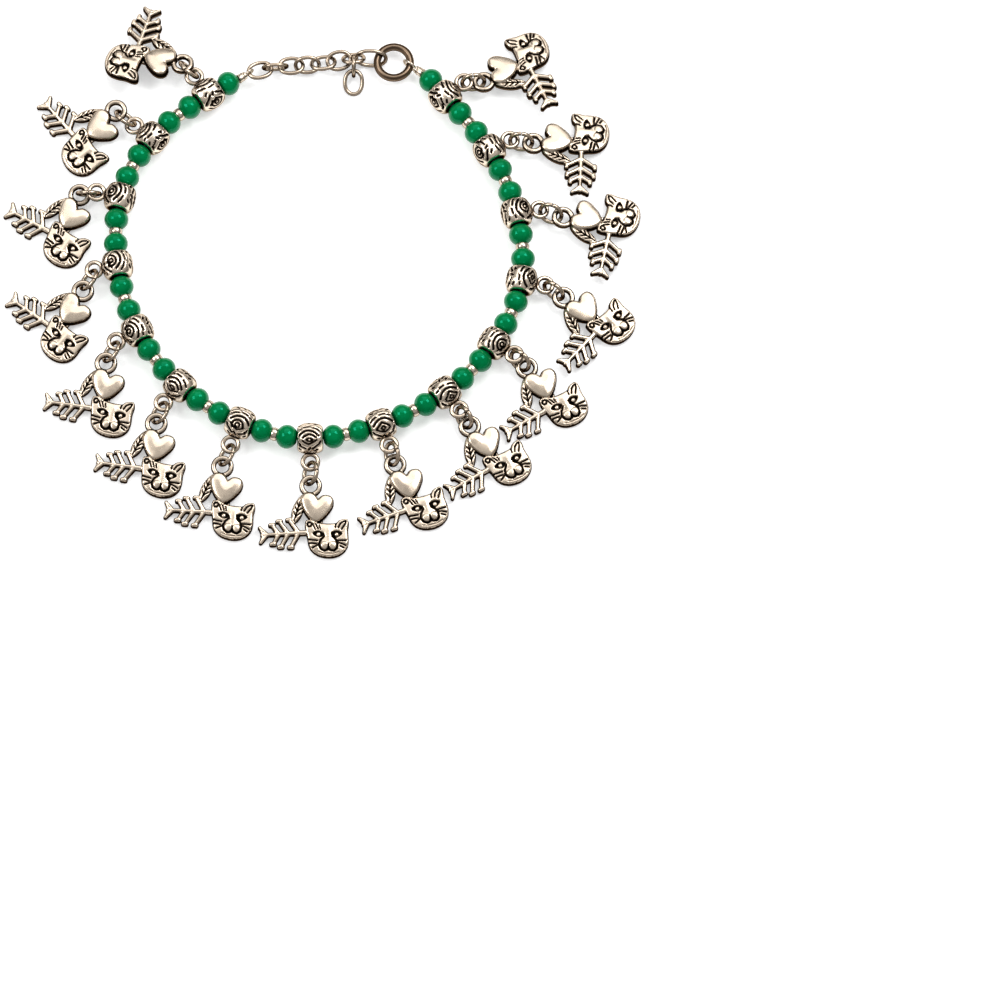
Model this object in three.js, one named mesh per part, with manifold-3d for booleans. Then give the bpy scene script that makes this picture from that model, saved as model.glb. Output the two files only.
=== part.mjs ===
// Payal anklet lying flat in a closed loop: a strand of green glass beads and cast barrel beads,
// fifteen cat charms on jump rings, an extender chain with a short tail, and a clasp ring.
// Millimetres, +Z up, the origin on the table under the middle of the whole anklet.
import * as THREE from "three";
import { mergeVertices } from "three/addons/utils/BufferGeometryUtils.js";
import Module from "manifold-3d";

// Strand of beads
const threadDiameter = 0.8;
const greenDiameter = 5.0;
const greenLength = 4.15;
const greenEndDiameter = 2.1;
const greenFlatLength = 1.7;
const spacerDiameter = 2.6;
const spacerLength = 1.15;
const pieceGap = 0.3;
const beadSides = 10;

// Barrel bead with its bail
const barrelDiameter = 6.5;
const barrelLength = 4.85;
const barrelEndDiameter = 4.7;
const barrelBellyLength = 2.6;
const threadClearance = 0.4;
const bailHole = 2.2;
const bailWire = 0.85;
const bailSink = 0.3;

// Jump ring between bail and charm
const jumpRingHole = 3.85;
const jumpRingWire = 0.8;
const ringSegments = 10;
const wireSides = 5;

// Charm: loop, heart, cat head, leaf and fishbone in one casting
const charmLoopHole = 2.6;
const charmLoopBand = 0.9;
const charmLoopThickness = 1.0;
const heartWidth = 6.5;
const heartHeight = 6.0;
const heartRim = 1.5;
const heartCrown = 0.7;
const heartPlace = { x: 1.35, y: -4.5, turn: -10 };
const catWidth = 9.0;
const catHeight = 8.3;
const catThickness = 1.7;
const catPlace = { x: 3.45, y: -11.15, turn: 0 };
const muzzleWidth = 3.6;
const muzzleHeight = 2.4;
const eyeSize = 1.2;
const faceRelief = 0.5;
const leafLength = 6.6;
const leafWidth = 2.3;
const leafThickness = 1.5;
const leafPlace = { x: -2.55, y: -5.0, turn: -16 };
const boneThickness = 1.5;
const boneWidth = 0.95;
const boneLength = 9.8;
const boneRoot = -0.4;
const bonePlace = { x: boneRoot - boneLength / 2, y: -10.3, turn: 4 };

// Chain, clasp ring and crimps. The clearances are those between interlocked wires.
const linkLength = 5.45;
const linkWidth = 4.2;
const linkWire = 0.65;
const linkPlay = 0.85;
const knotLinkLength = 4.9;
const hookLinkLength = 6.7;
const hookLinkWidth = 4.5;
const tailLinkLength = 4.6;
const tailLinkWidth = 3.8;
const claspRingHole = 5.2;
const claspRingSection = 1.6;
const claspSegments = 14;
const claspSides = 6;
const crimpDiameter = 2.3;
const crimpLength = 1.7;
const eyeWire = 0.5;
const eyeClearance = 0.35;
const claspClearance = 0.45;
const tailOffset = 0.15;

// The closed route of strand and chain, from the left crimp round the front to the clasp ring.
// It is scaled as a whole until its length is that of the pieces on it.
const route = [
  { x: -16.4, y: 38.0, drop: 0.35 },
  { x: -22.1, y: 34.9, drop: 0 },
  { x: -34.0, y: 25.0, drop: 0 },
  { x: -40.6, y: 12.1, drop: 0 },
  { x: -41.1, y: -3.1, drop: 0 },
  { x: -36.9, y: -17.4, drop: 0 },
  { x: -28.6, y: -28.9, drop: 0 },
  { x: -17.2, y: -36.8, drop: 0 },
  { x: -2.9, y: -40.7, drop: 0 },
  { x: 12.1, y: -37.8, drop: 0 },
  { x: 25.8, y: -30.5, drop: 0 },
  { x: 35.7, y: -19.9, drop: 0 },
  { x: 41.3, y: -6.4, drop: 0 },
  { x: 40.4, y: 8.3, drop: 0 },
  { x: 34.9, y: 22.1, drop: 0 },
  { x: 25.8, y: 34.0, drop: 0 },
  { x: 21.4, y: 39.2, drop: 0.7 },
  { x: 16.0, y: 42.4, drop: 1.2 },
  { x: 7.4, y: 43.0, drop: 0.95 },
  { x: 1.8, y: 41.7, drop: 0.75 },
  { x: -5.7, y: 41.2, drop: 1.1 },
  { x: -12.3, y: 40.6, drop: 0.9 },
];

// How each charm lies. Degrees, apart from reach, the plan distance from bail to charm loop.
// droop: bail below level. swing: jump ring against the bead's outward direction. lean: jump ring
// off upright. heading: charm against the outward direction. pitch: loop end up. roll: leaf side up.
const charmPoses = [
  { droop: 0, swing: 10, reach: 3.3, lean: 10, heading: 34, pitch: 8, roll: -12 },
  { droop: 10, swing: -3, reach: 5.1, lean: 20, heading: 75, pitch: 6, roll: 0 },
  { droop: -3, swing: 12, reach: 3.5, lean: 0, heading: 70, pitch: 5, roll: 0 },
  { droop: 10, swing: 56, reach: 5.1, lean: 20, heading: 43, pitch: 6, roll: 0 },
  { droop: 10, swing: 40, reach: 5.1, lean: 20, heading: 52, pitch: 6, roll: 0 },
  { droop: 10, swing: 26, reach: 4.7, lean: 25, heading: 32, pitch: 6, roll: 0 },
  { droop: 10, swing: 4, reach: 5.0, lean: 20, heading: 16, pitch: 6, roll: 0 },
  { droop: 10, swing: 0, reach: 5.1, lean: 20, heading: -1, pitch: 6, roll: 0 },
  { droop: -3, swing: -2, reach: 3.9, lean: 15, heading: -4, pitch: 5, roll: 0 },
  { droop: -3, swing: -1, reach: 3.7, lean: 10, heading: -10, pitch: 5, roll: 0 },
  { droop: -3, swing: -9, reach: 3.4, lean: 10, heading: -31, pitch: 5, roll: 0 },
  { droop: 8, swing: -26, reach: 4.6, lean: 0, heading: -37, pitch: 6, roll: 3 },
  { droop: 10, swing: -33, reach: 5.1, lean: 15, heading: -29, pitch: 6, roll: 5 },
  { droop: 5, swing: -37, reach: 4.8, lean: 10, heading: -37, pitch: 4, roll: 8 },
  { droop: -3, swing: -34, reach: 4.1, lean: 5, heading: -19, pitch: 3, roll: 12 },
];

// Chain links from the left crimp to the clasp ring. roll turns a link about its own length.
const chainRows = [
  { name: "chain_link_1", length: linkLength, width: linkWidth, roll: 12 },
  { name: "chain_link_2", length: linkLength, width: linkWidth, roll: 84 },
  { name: "chain_link_3", length: linkLength, width: linkWidth, roll: 10 },
  { name: "chain_link_4", length: linkLength, width: linkWidth, roll: -52 },
  { name: "chain_link_5", length: linkLength, width: linkWidth, roll: 26 },
  { name: "chain_link_6", length: linkLength, width: linkWidth, roll: -18 },
  { name: "knot_link", length: knotLinkLength, width: linkWidth, roll: 42 },
  { name: "hook_link", length: hookLinkLength, width: hookLinkWidth, roll: -60 },
];

// The tail hangs from the knot link towards the middle of the loop.
const tailHeading = 6;
const tailSlope = 52;

// The fishbone's ribs, from the cat's cheek to the tail: where each stands on the spine and how
// far it reaches to either side, as shares of the bone's length. All sweep back towards the tail.
const ribs = [
  { at: 0.2, reach: 0.31 },
  { at: 0.42, reach: 0.29 },
  { at: 0.62, reach: 0.22 },
];
const ribSweep = 32;
const tailFin = { at: 0.84, reach: 0.16 };

const silver = { color: 0xc6b49e, roughness: 0.34, metalness: 1 };
const brightSilver = { color: 0xd8ccba, roughness: 0.28, metalness: 1 };
const bronze = { color: 0x7d6651, roughness: 0.38, metalness: 1 };
const greenGlass = { color: 0x008a4b, roughness: 0.16, metalness: 0 };

const mergeTolerance = 1e-4;
const up = new THREE.Vector3(0, 0, 1);
const barrelRadius = barrelDiameter / 2;
const barrelCount = charmPoses.length;
const wasm = await Module();
wasm.setup();

function toSolid(geometry) {
  const loose = geometry.index ? geometry.toNonIndexed() : geometry;
  const bare = new THREE.BufferGeometry();
  bare.setAttribute("position", loose.getAttribute("position"));
  const merged = mergeVertices(bare, mergeTolerance);
  const vertProperties = merged.attributes.position.array;
  const triVerts = new Uint32Array(merged.index.array);
  return new wasm.Manifold(new wasm.Mesh({ numProp: 3, vertProperties, triVerts }));
}

function fuse(geometries) {
  const joined = geometries.map(toSolid).reduce((whole, piece) => whole.add(piece));
  const { vertProperties, triVerts } = joined.getMesh();
  const geometry = new THREE.BufferGeometry();
  geometry.setAttribute("position", new THREE.BufferAttribute(vertProperties, 3));
  geometry.setIndex(new THREE.BufferAttribute(triVerts, 1));
  return geometry;
}

const radians = THREE.MathUtils.degToRad;

// A ring of round wire in the XY plane, from its hole and its wire's width and thickness.
function wireRing(hole, width, thickness, segments, sides) {
  const middle = (hole + width) / 2;
  const section = [];
  for (let i = 0; i <= sides; i++) {
    const angle = (2 * Math.PI * (i % sides)) / sides;
    section.push(
      new THREE.Vector2(middle + (width / 2) * Math.cos(angle), (thickness / 2) * Math.sin(angle)),
    );
  }
  return new THREE.LatheGeometry(section, segments, Math.PI / segments).rotateX(Math.PI / 2);
}

// A chain link: a wire ring of the link's width, pulled apart along X to the link's length.
function chainLink(length, width, wire) {
  const link = wireRing(width - 2 * wire, wire, wire, ringSegments, wireSides);
  const places = link.getAttribute("position");
  const halfStretch = (length - width) / 2;
  for (let i = 0; i < places.count; i++) {
    places.setX(i, places.getX(i) + Math.sign(places.getX(i)) * halfStretch);
  }
  return link;
}

// The plan of strand and chain: where each piece sits along the closed route.
const greenCount = 2 * barrelCount;
const stringLength =
  greenCount * greenLength +
  barrelCount * (barrelLength + 2 * pieceGap) +
  (barrelCount - 1) * spacerLength +
  2 * pieceGap;
const leftEyeHole = linkWire + 2 * eyeClearance;
const rightEyeHole = claspRingSection + 2 * claspClearance;
const claspMiddleDiameter = claspRingHole + claspRingSection;

// Distance between the centres of two interlocked rings, from their outer lengths and wires.
function interlocked(lengthA, wireA, lengthB, wireB, play) {
  return (lengthA - wireA) / 2 + (lengthB - wireB) / 2 - (wireA + wireB) / 2 - play;
}

function eyeLength(hole) {
  return hole + 2 * eyeWire;
}

function chainPlaces() {
  let at = crimpLength + eyeLength(leftEyeHole) / 2 - eyeWire / 2;
  let last = { length: eyeLength(leftEyeHole), wire: eyeWire };
  const places = chainRows.map((row, i) => {
    at += interlocked(last.length, last.wire, row.length, linkWire, i ? linkPlay : eyeClearance);
    last = { length: row.length, wire: linkWire };
    return at;
  });
  const claspLength = claspRingHole + 2 * claspRingSection;
  const clasp =
    at + interlocked(last.length, linkWire, claspLength, claspRingSection, claspClearance);
  const rightEye =
    clasp +
    interlocked(claspLength, claspRingSection, eyeLength(rightEyeHole), eyeWire, claspClearance);
  const end = rightEye + eyeLength(rightEyeHole) / 2 - eyeWire / 2 + crimpLength;
  return { places, clasp, rightEye, end };
}

const chain = chainPlaces();
const loopLength = stringLength + chain.end;

function closedRoute() {
  const unit = new THREE.CatmullRomCurve3(
    route.map((point) => new THREE.Vector3(point.x, point.y, 0)),
    true,
    "catmullrom",
    0.5,
  );
  const scale = loopLength / unit.getLength();
  const curve = new THREE.CatmullRomCurve3(
    route.map((p) => new THREE.Vector3(p.x * scale, p.y * scale, barrelRadius - p.drop)),
    true,
    "catmullrom",
    0.5,
  );
  curve.arcLengthDivisions = 4000;
  return curve;
}

const loop = closedRoute();

// The frame on the route at a distance from the left crimp: x outward, y along, z up.
function frameAt(distance) {
  const share = (((distance / loopLength) % 1) + 1) % 1;
  const along = loop.getTangentAt(share);
  const outward = new THREE.Vector3().crossVectors(along, up).normalize();
  const above = new THREE.Vector3().crossVectors(outward, along);
  const place = loop.getPointAt(share);
  return new THREE.Matrix4().makeBasis(outward, along, above).setPosition(place);
}

// The strand's profile along the string: distance from the left crimp and radius.
function strandProfile() {
  const thread = threadDiameter / 2;
  const end = greenEndDiameter / 2;
  const belly = greenDiameter / 2;
  const profile = [
    { at: -crimpLength * 0.3, radius: 0 },
    { at: -crimpLength * 0.3, radius: thread },
  ];
  let at = pieceGap;
  const addGreen = () => {
    profile.push({ at, radius: end });
    profile.push({ at: at + (greenLength - greenFlatLength) / 2, radius: belly });
    profile.push({ at: at + (greenLength + greenFlatLength) / 2, radius: belly });
    profile.push({ at: at + greenLength, radius: end });
    at += greenLength;
  };
  for (let i = 0; i < barrelCount; i++) {
    if (i) {
      profile.push({ at: at + spacerLength / 2, radius: spacerDiameter / 2 });
      at += spacerLength;
    } else {
      profile.push({ at, radius: thread });
    }
    addGreen();
    profile.push({ at, radius: thread });
    at += barrelLength + 2 * pieceGap;
    profile.push({ at, radius: thread });
    addGreen();
  }
  profile.push({ at, radius: thread });
  profile.push({ at: stringLength + crimpLength * 0.3, radius: thread });
  profile.push({ at: stringLength + crimpLength * 0.3, radius: 0 });
  return profile;
}

// A straight turned strand, then each of its points laid onto the route.
function beadStrand() {
  const profile = strandProfile().map(({ at, radius }) => new THREE.Vector2(radius, at));
  const strand = new THREE.LatheGeometry(profile, beadSides);
  const places = strand.getAttribute("position");
  const point = new THREE.Vector3();
  for (let i = 0; i < places.count; i++) {
    point.fromBufferAttribute(places, i);
    const frame = frameAt(point.y);
    point.setY(0).applyMatrix4(frame);
    places.setXYZ(i, point.x, point.y, point.z);
  }
  return strand;
}

function barrelPlace(index) {
  const pair = 2 * greenLength + barrelLength + 2 * pieceGap + spacerLength;
  return pieceGap + greenLength + pieceGap + barrelLength / 2 + index * pair;
}

// Distance from the barrel's axis to the middle of its bail.
const bailOffset = barrelRadius - bailSink + bailHole / 2 + bailWire;

function bailBead(droop) {
  const bore = threadDiameter / 2 + threadClearance;
  const half = barrelLength / 2;
  const belly = barrelBellyLength / 2;
  const outline = [
    [bore, -half],
    [barrelEndDiameter / 2, -half],
    [barrelRadius, -belly],
    [barrelRadius, belly],
    [barrelEndDiameter / 2, half],
    [bore, half],
    [bore, -half],
  ].map(([radius, along]) => new THREE.Vector2(radius, along));
  const barrel = new THREE.LatheGeometry(outline, beadSides);
  const bail = wireRing(bailHole, bailWire, bailWire, ringSegments, wireSides);
  bail.translate(bailOffset, 0, 0).rotateY(radians(droop));
  return fuse([barrel, bail]);
}

// A cast plate with a flat back: an outline raised to its rim, then domed to a crown in its middle.
function domedPlate(outline, rim, crown) {
  const count = outline.length;
  const places = [0, 0, 0, 0, 0, rim + crown];
  const faces = [];
  for (const height of [0, rim]) {
    outline.forEach((point) => places.push(point.x, point.y, height));
  }
  for (let i = 0; i < count; i++) {
    const low = 2 + i;
    const nextLow = 2 + ((i + 1) % count);
    const high = low + count;
    const nextHigh = nextLow + count;
    faces.push(0, nextLow, low);
    faces.push(low, nextLow, nextHigh, low, nextHigh, high);
    faces.push(high, nextHigh, 1);
  }
  const plate = new THREE.BufferGeometry();
  plate.setAttribute("position", new THREE.Float32BufferAttribute(places, 3));
  plate.setIndex(faces);
  return plate;
}

function place(geometry, { x, y, turn }) {
  return geometry.rotateZ(radians(turn)).translate(x, y, 0);
}

function flatPlate(outline, depth) {
  return new THREE.ExtrudeGeometry(new THREE.Shape(outline), { depth, bevelEnabled: false });
}

// The heart's outline as shares of half its width and height, from its tip up the right side.
const heartSide = [
  { across: 0, along: -1.0 },
  { across: 0.6, along: -0.35 },
  { across: 1.0, along: 0.35 },
  { across: 0.85, along: 0.85 },
  { across: 0.4, along: 1.0 },
  { across: 0, along: 0.55 },
];

function heartPlate() {
  const w = heartWidth / 2;
  const h = heartHeight / 2;
  const right = heartSide.map((point) => new THREE.Vector2(point.across * w, point.along * h));
  const left = right.slice(1, -1).reverse();
  const outline = [...right, ...left.map((point) => new THREE.Vector2(-point.x, point.y))];
  return place(domedPlate(outline, heartRim, heartCrown), heartPlace);
}

// The cat head's outline as shares of half its width and height, from the left ear round.
const catOutline = [
  { across: -0.88, along: 1.0 },
  { across: -1.0, along: 0.75 },
  { across: -0.93, along: -0.1 },
  { across: -0.62, along: -0.7 },
  { across: -0.1, along: -1.0 },
  { across: 0.45, along: -0.93 },
  { across: 0.9, along: -0.4 },
  { across: 1.0, along: 0.98 },
  { across: 0.8, along: 1.0 },
  { across: 0.4, along: 0.88 },
  { across: -0.4, along: 0.86 },
  { across: -0.62, along: 0.98 },
];

function catHead() {
  const w = catWidth / 2;
  const h = catHeight / 2;
  const outline = catOutline.map((point) => new THREE.Vector2(point.across * w, point.along * h));
  const plate = flatPlate(outline, catThickness);
  const muzzle = new THREE.CylinderGeometry(0.5, 0.5, 2 * faceRelief, 5).rotateX(Math.PI / 2);
  muzzle.scale(muzzleWidth, muzzleHeight, 1).translate(0.04 * w, -0.45 * h, catThickness);
  const eyes = [-0.42, 0.42].map((side) => {
    const eye = new THREE.CylinderGeometry(eyeSize / 4, eyeSize / 2, 2 * faceRelief, 4);
    return eye.rotateX(Math.PI / 2).translate(side * w, 0.15 * h, catThickness);
  });
  return [plate, muzzle, ...eyes].map((piece) => place(piece, catPlace));
}

function leaf() {
  const w = leafWidth / 2;
  const h = leafLength / 2;
  const outline = [
    new THREE.Vector2(0, -h),
    new THREE.Vector2(w, -0.25 * h),
    new THREE.Vector2(0.8 * w, 0.35 * h),
    new THREE.Vector2(0, h),
    new THREE.Vector2(-0.8 * w, 0.35 * h),
    new THREE.Vector2(-w, -0.25 * h),
  ];
  return place(flatPlate(outline, leafThickness), leafPlace);
}

// The upper edge of the fishbone from the cheek to the tail, mirrored for its lower edge.
function fishbone() {
  const half = boneWidth / 2;
  const sweep = Math.tan(radians(ribSweep));
  const along = (share) => (0.5 - share) * boneLength;
  const upper = [new THREE.Vector2(along(0), half)];
  for (const rib of ribs) {
    const root = along(rib.at);
    const tip = half + rib.reach * boneLength;
    const back = root - sweep * rib.reach * boneLength;
    upper.push(new THREE.Vector2(root + half, half));
    upper.push(new THREE.Vector2(back, tip));
    upper.push(new THREE.Vector2(root - half, half));
  }
  const finRoot = along(tailFin.at);
  upper.push(new THREE.Vector2(finRoot, half));
  upper.push(new THREE.Vector2(along(1) - half, half + tailFin.reach * boneLength));
  upper.push(new THREE.Vector2(along(1) + half, 0));
  const lower = upper.slice(0, -1).reverse();
  const outline = [...upper, ...lower.map((point) => new THREE.Vector2(point.x, -point.y))];
  return place(flatPlate(outline, boneThickness), bonePlace);
}

// The charm's loop: a flat cast band round a hole, its back level with the charm's.
function flatLoop(hole, band, thickness) {
  const inner = hole / 2;
  const outer = inner + band;
  const outline = [
    [inner, 0],
    [outer, 0],
    [outer, thickness],
    [inner, thickness],
    [inner, 0],
  ].map(([radius, height]) => new THREE.Vector2(radius, height));
  return new THREE.LatheGeometry(outline, ringSegments).rotateX(Math.PI / 2);
}

function charmCasting() {
  const eye = flatLoop(charmLoopHole, charmLoopBand, charmLoopThickness);
  return fuse([eye, heartPlate(), ...catHead(), leaf(), fishbone()]);
}

const anklet = new THREE.Group();

function addPiece(name, geometry, finish, matrix) {
  const mesh = new THREE.Mesh(geometry, new THREE.MeshStandardMaterial(finish));
  mesh.name = name;
  mesh.applyMatrix4(matrix);
  anklet.add(mesh);
  return mesh;
}

function lowestPoint(mesh) {
  mesh.updateMatrixWorld(true);
  return new THREE.Box3().setFromObject(mesh, true).min.z;
}

// The charm lies turned about its loop, low side on the table, loop end and one side raised.
function placeCharm(name, casting, loopPlace, direction, pose) {
  const turn = direction + Math.PI / 2;
  const matrix = new THREE.Matrix4()
    .makeRotationZ(turn)
    .multiply(new THREE.Matrix4().makeRotationX(radians(pose.pitch)))
    .multiply(new THREE.Matrix4().makeRotationY(radians(pose.roll)));
  const mesh = addPiece(name, casting, silver, matrix);
  mesh.position.set(loopPlace.x, loopPlace.y, 0);
  mesh.position.z = -lowestPoint(mesh);
  mesh.updateMatrixWorld(true);
  return {
    middle: new THREE.Vector3(0, 0, charmLoopThickness / 2).applyMatrix4(mesh.matrixWorld),
    axis: new THREE.Vector3().setFromMatrixColumn(mesh.matrixWorld, 2),
  };
}

// The middle of a ring's wire where the wire lies furthest towards a direction.
function wireTowards(middle, axis, radius, direction) {
  const flat = direction.clone().addScaledVector(axis, -direction.dot(axis)).normalize();
  return middle.clone().addScaledVector(flat, radius);
}

// The jump ring goes through the far side of the bail and the near side of the charm's loop.
function placeJumpRing(name, ring, bail, eye, lean) {
  const along = new THREE.Vector3().subVectors(eye.middle, bail.middle).setZ(0).normalize();
  const bailRadius = (bailHole + bailWire) / 2;
  const eyeRadius = (charmLoopHole + charmLoopBand) / 2;
  const bailWirePlace = wireTowards(bail.middle, bail.axis, bailRadius, along);
  const eyeWirePlace = wireTowards(eye.middle, eye.axis, eyeRadius, along.clone().negate());
  const apart = new THREE.Vector3().subVectors(eyeWirePlace, bailWirePlace).normalize();
  const middle = bailWirePlace.add(eyeWirePlace).multiplyScalar(0.5);
  middle.addScaledVector(apart, (charmLoopBand - bailWire) / 4);
  const side = new THREE.Vector3().crossVectors(up, along);
  const raised = up.clone().multiplyScalar(Math.cos(radians(lean)));
  raised.addScaledVector(side, Math.sin(radians(lean)));
  const axis = new THREE.Vector3().crossVectors(along, raised);
  const matrix = new THREE.Matrix4().makeBasis(along, raised, axis).setPosition(middle);
  const mesh = addPiece(name, ring, silver, matrix);
  mesh.position.z += Math.max(0, -lowestPoint(mesh));
}

function addCharms() {
  const casting = charmCasting();
  const ring = wireRing(jumpRingHole, jumpRingWire, jumpRingWire, ringSegments, wireSides);
  charmPoses.forEach((pose, i) => {
    const number = String(i + 1).padStart(2, "0");
    const frame = frameAt(barrelPlace(i));
    addPiece("bail_bead_" + number, bailBead(pose.droop), silver, frame);
    const drooped = frame.clone().multiply(new THREE.Matrix4().makeRotationY(radians(pose.droop)));
    const bail = {
      middle: new THREE.Vector3(bailOffset, 0, 0).applyMatrix4(drooped),
      axis: new THREE.Vector3().setFromMatrixColumn(drooped, 2),
    };
    const outward = new THREE.Vector3().setFromMatrixColumn(frame, 0);
    const normal = Math.atan2(outward.y, outward.x);
    const swung = normal + radians(pose.swing);
    const loopPlace = new THREE.Vector3(
      bail.middle.x + pose.reach * Math.cos(swung),
      bail.middle.y + pose.reach * Math.sin(swung),
      0,
    );
    const heading = normal + radians(pose.heading);
    const eye = placeCharm("charm_" + number, casting, loopPlace, heading, pose);
    placeJumpRing("jump_ring_" + number, ring, bail, eye, pose.lean);
  });
}

// A crimp: a short tube pinched on the thread, with an eye of the doubled thread at its far end.
function crimp(eyeHole) {
  const bore = threadDiameter / 2 + pieceGap;
  const wall = crimpDiameter / 2;
  const blindEnd = crimpLength * 0.45;
  const outline = [
    [0, blindEnd],
    [bore, blindEnd],
    [bore, 0],
    [wall, 0],
    [wall, crimpLength],
    [0, crimpLength],
  ].map(([radius, along]) => new THREE.Vector2(radius, along));
  const tube = new THREE.LatheGeometry(outline, beadSides);
  const eye = wireRing(eyeHole, eyeWire, eyeWire, ringSegments, wireSides).rotateY(Math.PI / 2);
  eye.translate(0, crimpLength + eyeLength(eyeHole) / 2 - eyeWire / 2, 0);
  return fuse([tube, eye]);
}

// A frame with x on the chord between two distances along the route, its plane turned by roll.
function chordFrame(start, end, roll) {
  const from = new THREE.Vector3().setFromMatrixPosition(frameAt(start));
  const to = new THREE.Vector3().setFromMatrixPosition(frameAt(end));
  const along = new THREE.Vector3().subVectors(to, from).normalize();
  const side = new THREE.Vector3().crossVectors(up, along).normalize();
  const above = new THREE.Vector3().crossVectors(along, side);
  return new THREE.Matrix4()
    .makeBasis(along, side, above)
    .setPosition(from.add(to).multiplyScalar(0.5))
    .multiply(new THREE.Matrix4().makeRotationX(radians(roll)));
}

function linkFrame(distance, length, roll) {
  return chordFrame(-distance - length / 2, -distance + length / 2, roll);
}

// A crimp starts at the end of the beads, and the middle of its eye is on the route too.
function addCrimp(name, start, direction, eyeHole) {
  const reach = crimpLength + eyeLength(eyeHole) / 2 - eyeWire / 2;
  const frame = chordFrame(start, start + direction * reach, 0);
  frame.multiply(new THREE.Matrix4().makeRotationZ(-Math.PI / 2)).setPosition(
    new THREE.Vector3().setFromMatrixPosition(frameAt(start)),
  );
  addPiece(name, crimp(eyeHole), brightSilver, frame);
}

function addChain() {
  chainRows.forEach((row, i) => {
    const link = chainLink(row.length, row.width, linkWire);
    addPiece(row.name, link, silver, linkFrame(chain.places[i], row.length, row.roll));
  });
  const clasp = wireRing(
    claspRingHole,
    claspRingSection,
    claspRingSection,
    claspSegments,
    claspSides,
  );
  const claspLength = claspRingHole + 2 * claspRingSection;
  addPiece("clasp_ring", clasp, bronze, linkFrame(chain.clasp, claspLength, 0));
}

// The tail's first link stands in the knot link's near wire, and the end link hangs from it with
// its far end on the table.
function addTail() {
  const knot = chainRows.findIndex((row) => row.name === "knot_link");
  const frame = linkFrame(chain.places[knot], chainRows[knot].length, chainRows[knot].roll);
  const nearWire = new THREE.Vector3(tailOffset, (linkWidth - linkWire) / 2, 0);
  nearWire.applyMatrix4(frame);
  const outward = new THREE.Vector3().setFromMatrixColumn(frameAt(-chain.places[knot]), 0);
  const heading = Math.atan2(-outward.y, -outward.x) - radians(tailHeading);
  const turned = new THREE.Matrix4().makeRotationZ(heading);
  const contact = tailLinkLength / 2 - 1.5 * linkWire - eyeClearance;

  const tail = turned.clone().multiply(new THREE.Matrix4().makeRotationY(radians(tailSlope)));
  const tailDirection = new THREE.Vector3().setFromMatrixColumn(tail, 0);
  const tailPlace = nearWire.clone().addScaledVector(tailDirection, contact);
  tail.multiply(new THREE.Matrix4().makeRotationX(Math.PI / 2)).setPosition(tailPlace);
  addPiece("tail_link", chainLink(tailLinkLength, tailLinkWidth, linkWire), silver, tail);

  const endWire = tailPlace.clone().addScaledVector(tailDirection, contact);
  const span = linkLength - linkWire;
  const endSlope = Math.asin((endWire.z - linkWire / 2) / span);
  const end = turned.clone().multiply(new THREE.Matrix4().makeRotationY(endSlope));
  const endDirection = new THREE.Vector3().setFromMatrixColumn(end, 0);
  end.setPosition(endWire.addScaledVector(endDirection, span / 2));
  addPiece("end_link", chainLink(linkLength, linkWidth, linkWire), silver, end);
}

addPiece("bead_strand", beadStrand(), greenGlass, new THREE.Matrix4());
addCharms();
addCrimp("crimp_left", 0, -1, leftEyeHole);
addCrimp("crimp_right", stringLength, 1, rightEyeHole);
addChain();
addTail();

// Stand the whole anklet on the table, its middle over the origin.
anklet.updateMatrixWorld(true);
const box = new THREE.Box3().setFromObject(anklet, true);
anklet.position.set(-(box.min.x + box.max.x) / 2, -(box.min.y + box.max.y) / 2, -box.min.z);

const part = new THREE.Group();
part.add(anklet);
export default part;
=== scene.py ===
import math

import bpy
import numpy as np
from mathutils import Matrix, Vector
from mathutils.geometry import delaunay_2d_cdt


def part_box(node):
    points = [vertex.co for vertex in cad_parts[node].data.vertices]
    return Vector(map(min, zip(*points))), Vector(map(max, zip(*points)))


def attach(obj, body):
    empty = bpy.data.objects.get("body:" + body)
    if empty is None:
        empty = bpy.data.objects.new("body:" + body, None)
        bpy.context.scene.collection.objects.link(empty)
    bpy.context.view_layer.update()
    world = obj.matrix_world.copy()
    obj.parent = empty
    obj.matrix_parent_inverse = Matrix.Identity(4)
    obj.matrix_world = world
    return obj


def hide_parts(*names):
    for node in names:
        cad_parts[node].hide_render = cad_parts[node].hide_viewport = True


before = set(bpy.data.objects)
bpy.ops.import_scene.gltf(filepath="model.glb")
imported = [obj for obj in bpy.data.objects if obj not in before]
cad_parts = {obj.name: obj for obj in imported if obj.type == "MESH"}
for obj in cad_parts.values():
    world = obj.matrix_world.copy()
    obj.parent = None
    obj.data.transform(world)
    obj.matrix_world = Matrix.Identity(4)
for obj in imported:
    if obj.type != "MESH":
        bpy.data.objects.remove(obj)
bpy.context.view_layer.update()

# The green beads: round pressed glass, opaque and polished, a little shorter than they are wide,
# strung in pairs on one elastic thread that runs once round the ankle. Each bead's ends are
# flattened where its thread hole comes out.
mm = 0.001
green_diameter = 5.0 * mm
green_length = 4.15 * mm
spacer_length = 1.15 * mm
piece_gap = 0.3 * mm
barrel_diameter = 6.5 * mm
barrel_slot = 4.85 * mm
barrel_count = 15

crimp_length = 1.7 * mm
link_length = 5.45 * mm
link_width = 4.2 * mm
link_wire = 0.65 * mm
link_play = 0.85 * mm
eye_wire = 0.5 * mm
eye_clearance = 0.35 * mm
clasp_clearance = 0.45 * mm
clasp_hole = 5.2 * mm
clasp_section = 1.6 * mm

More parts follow.
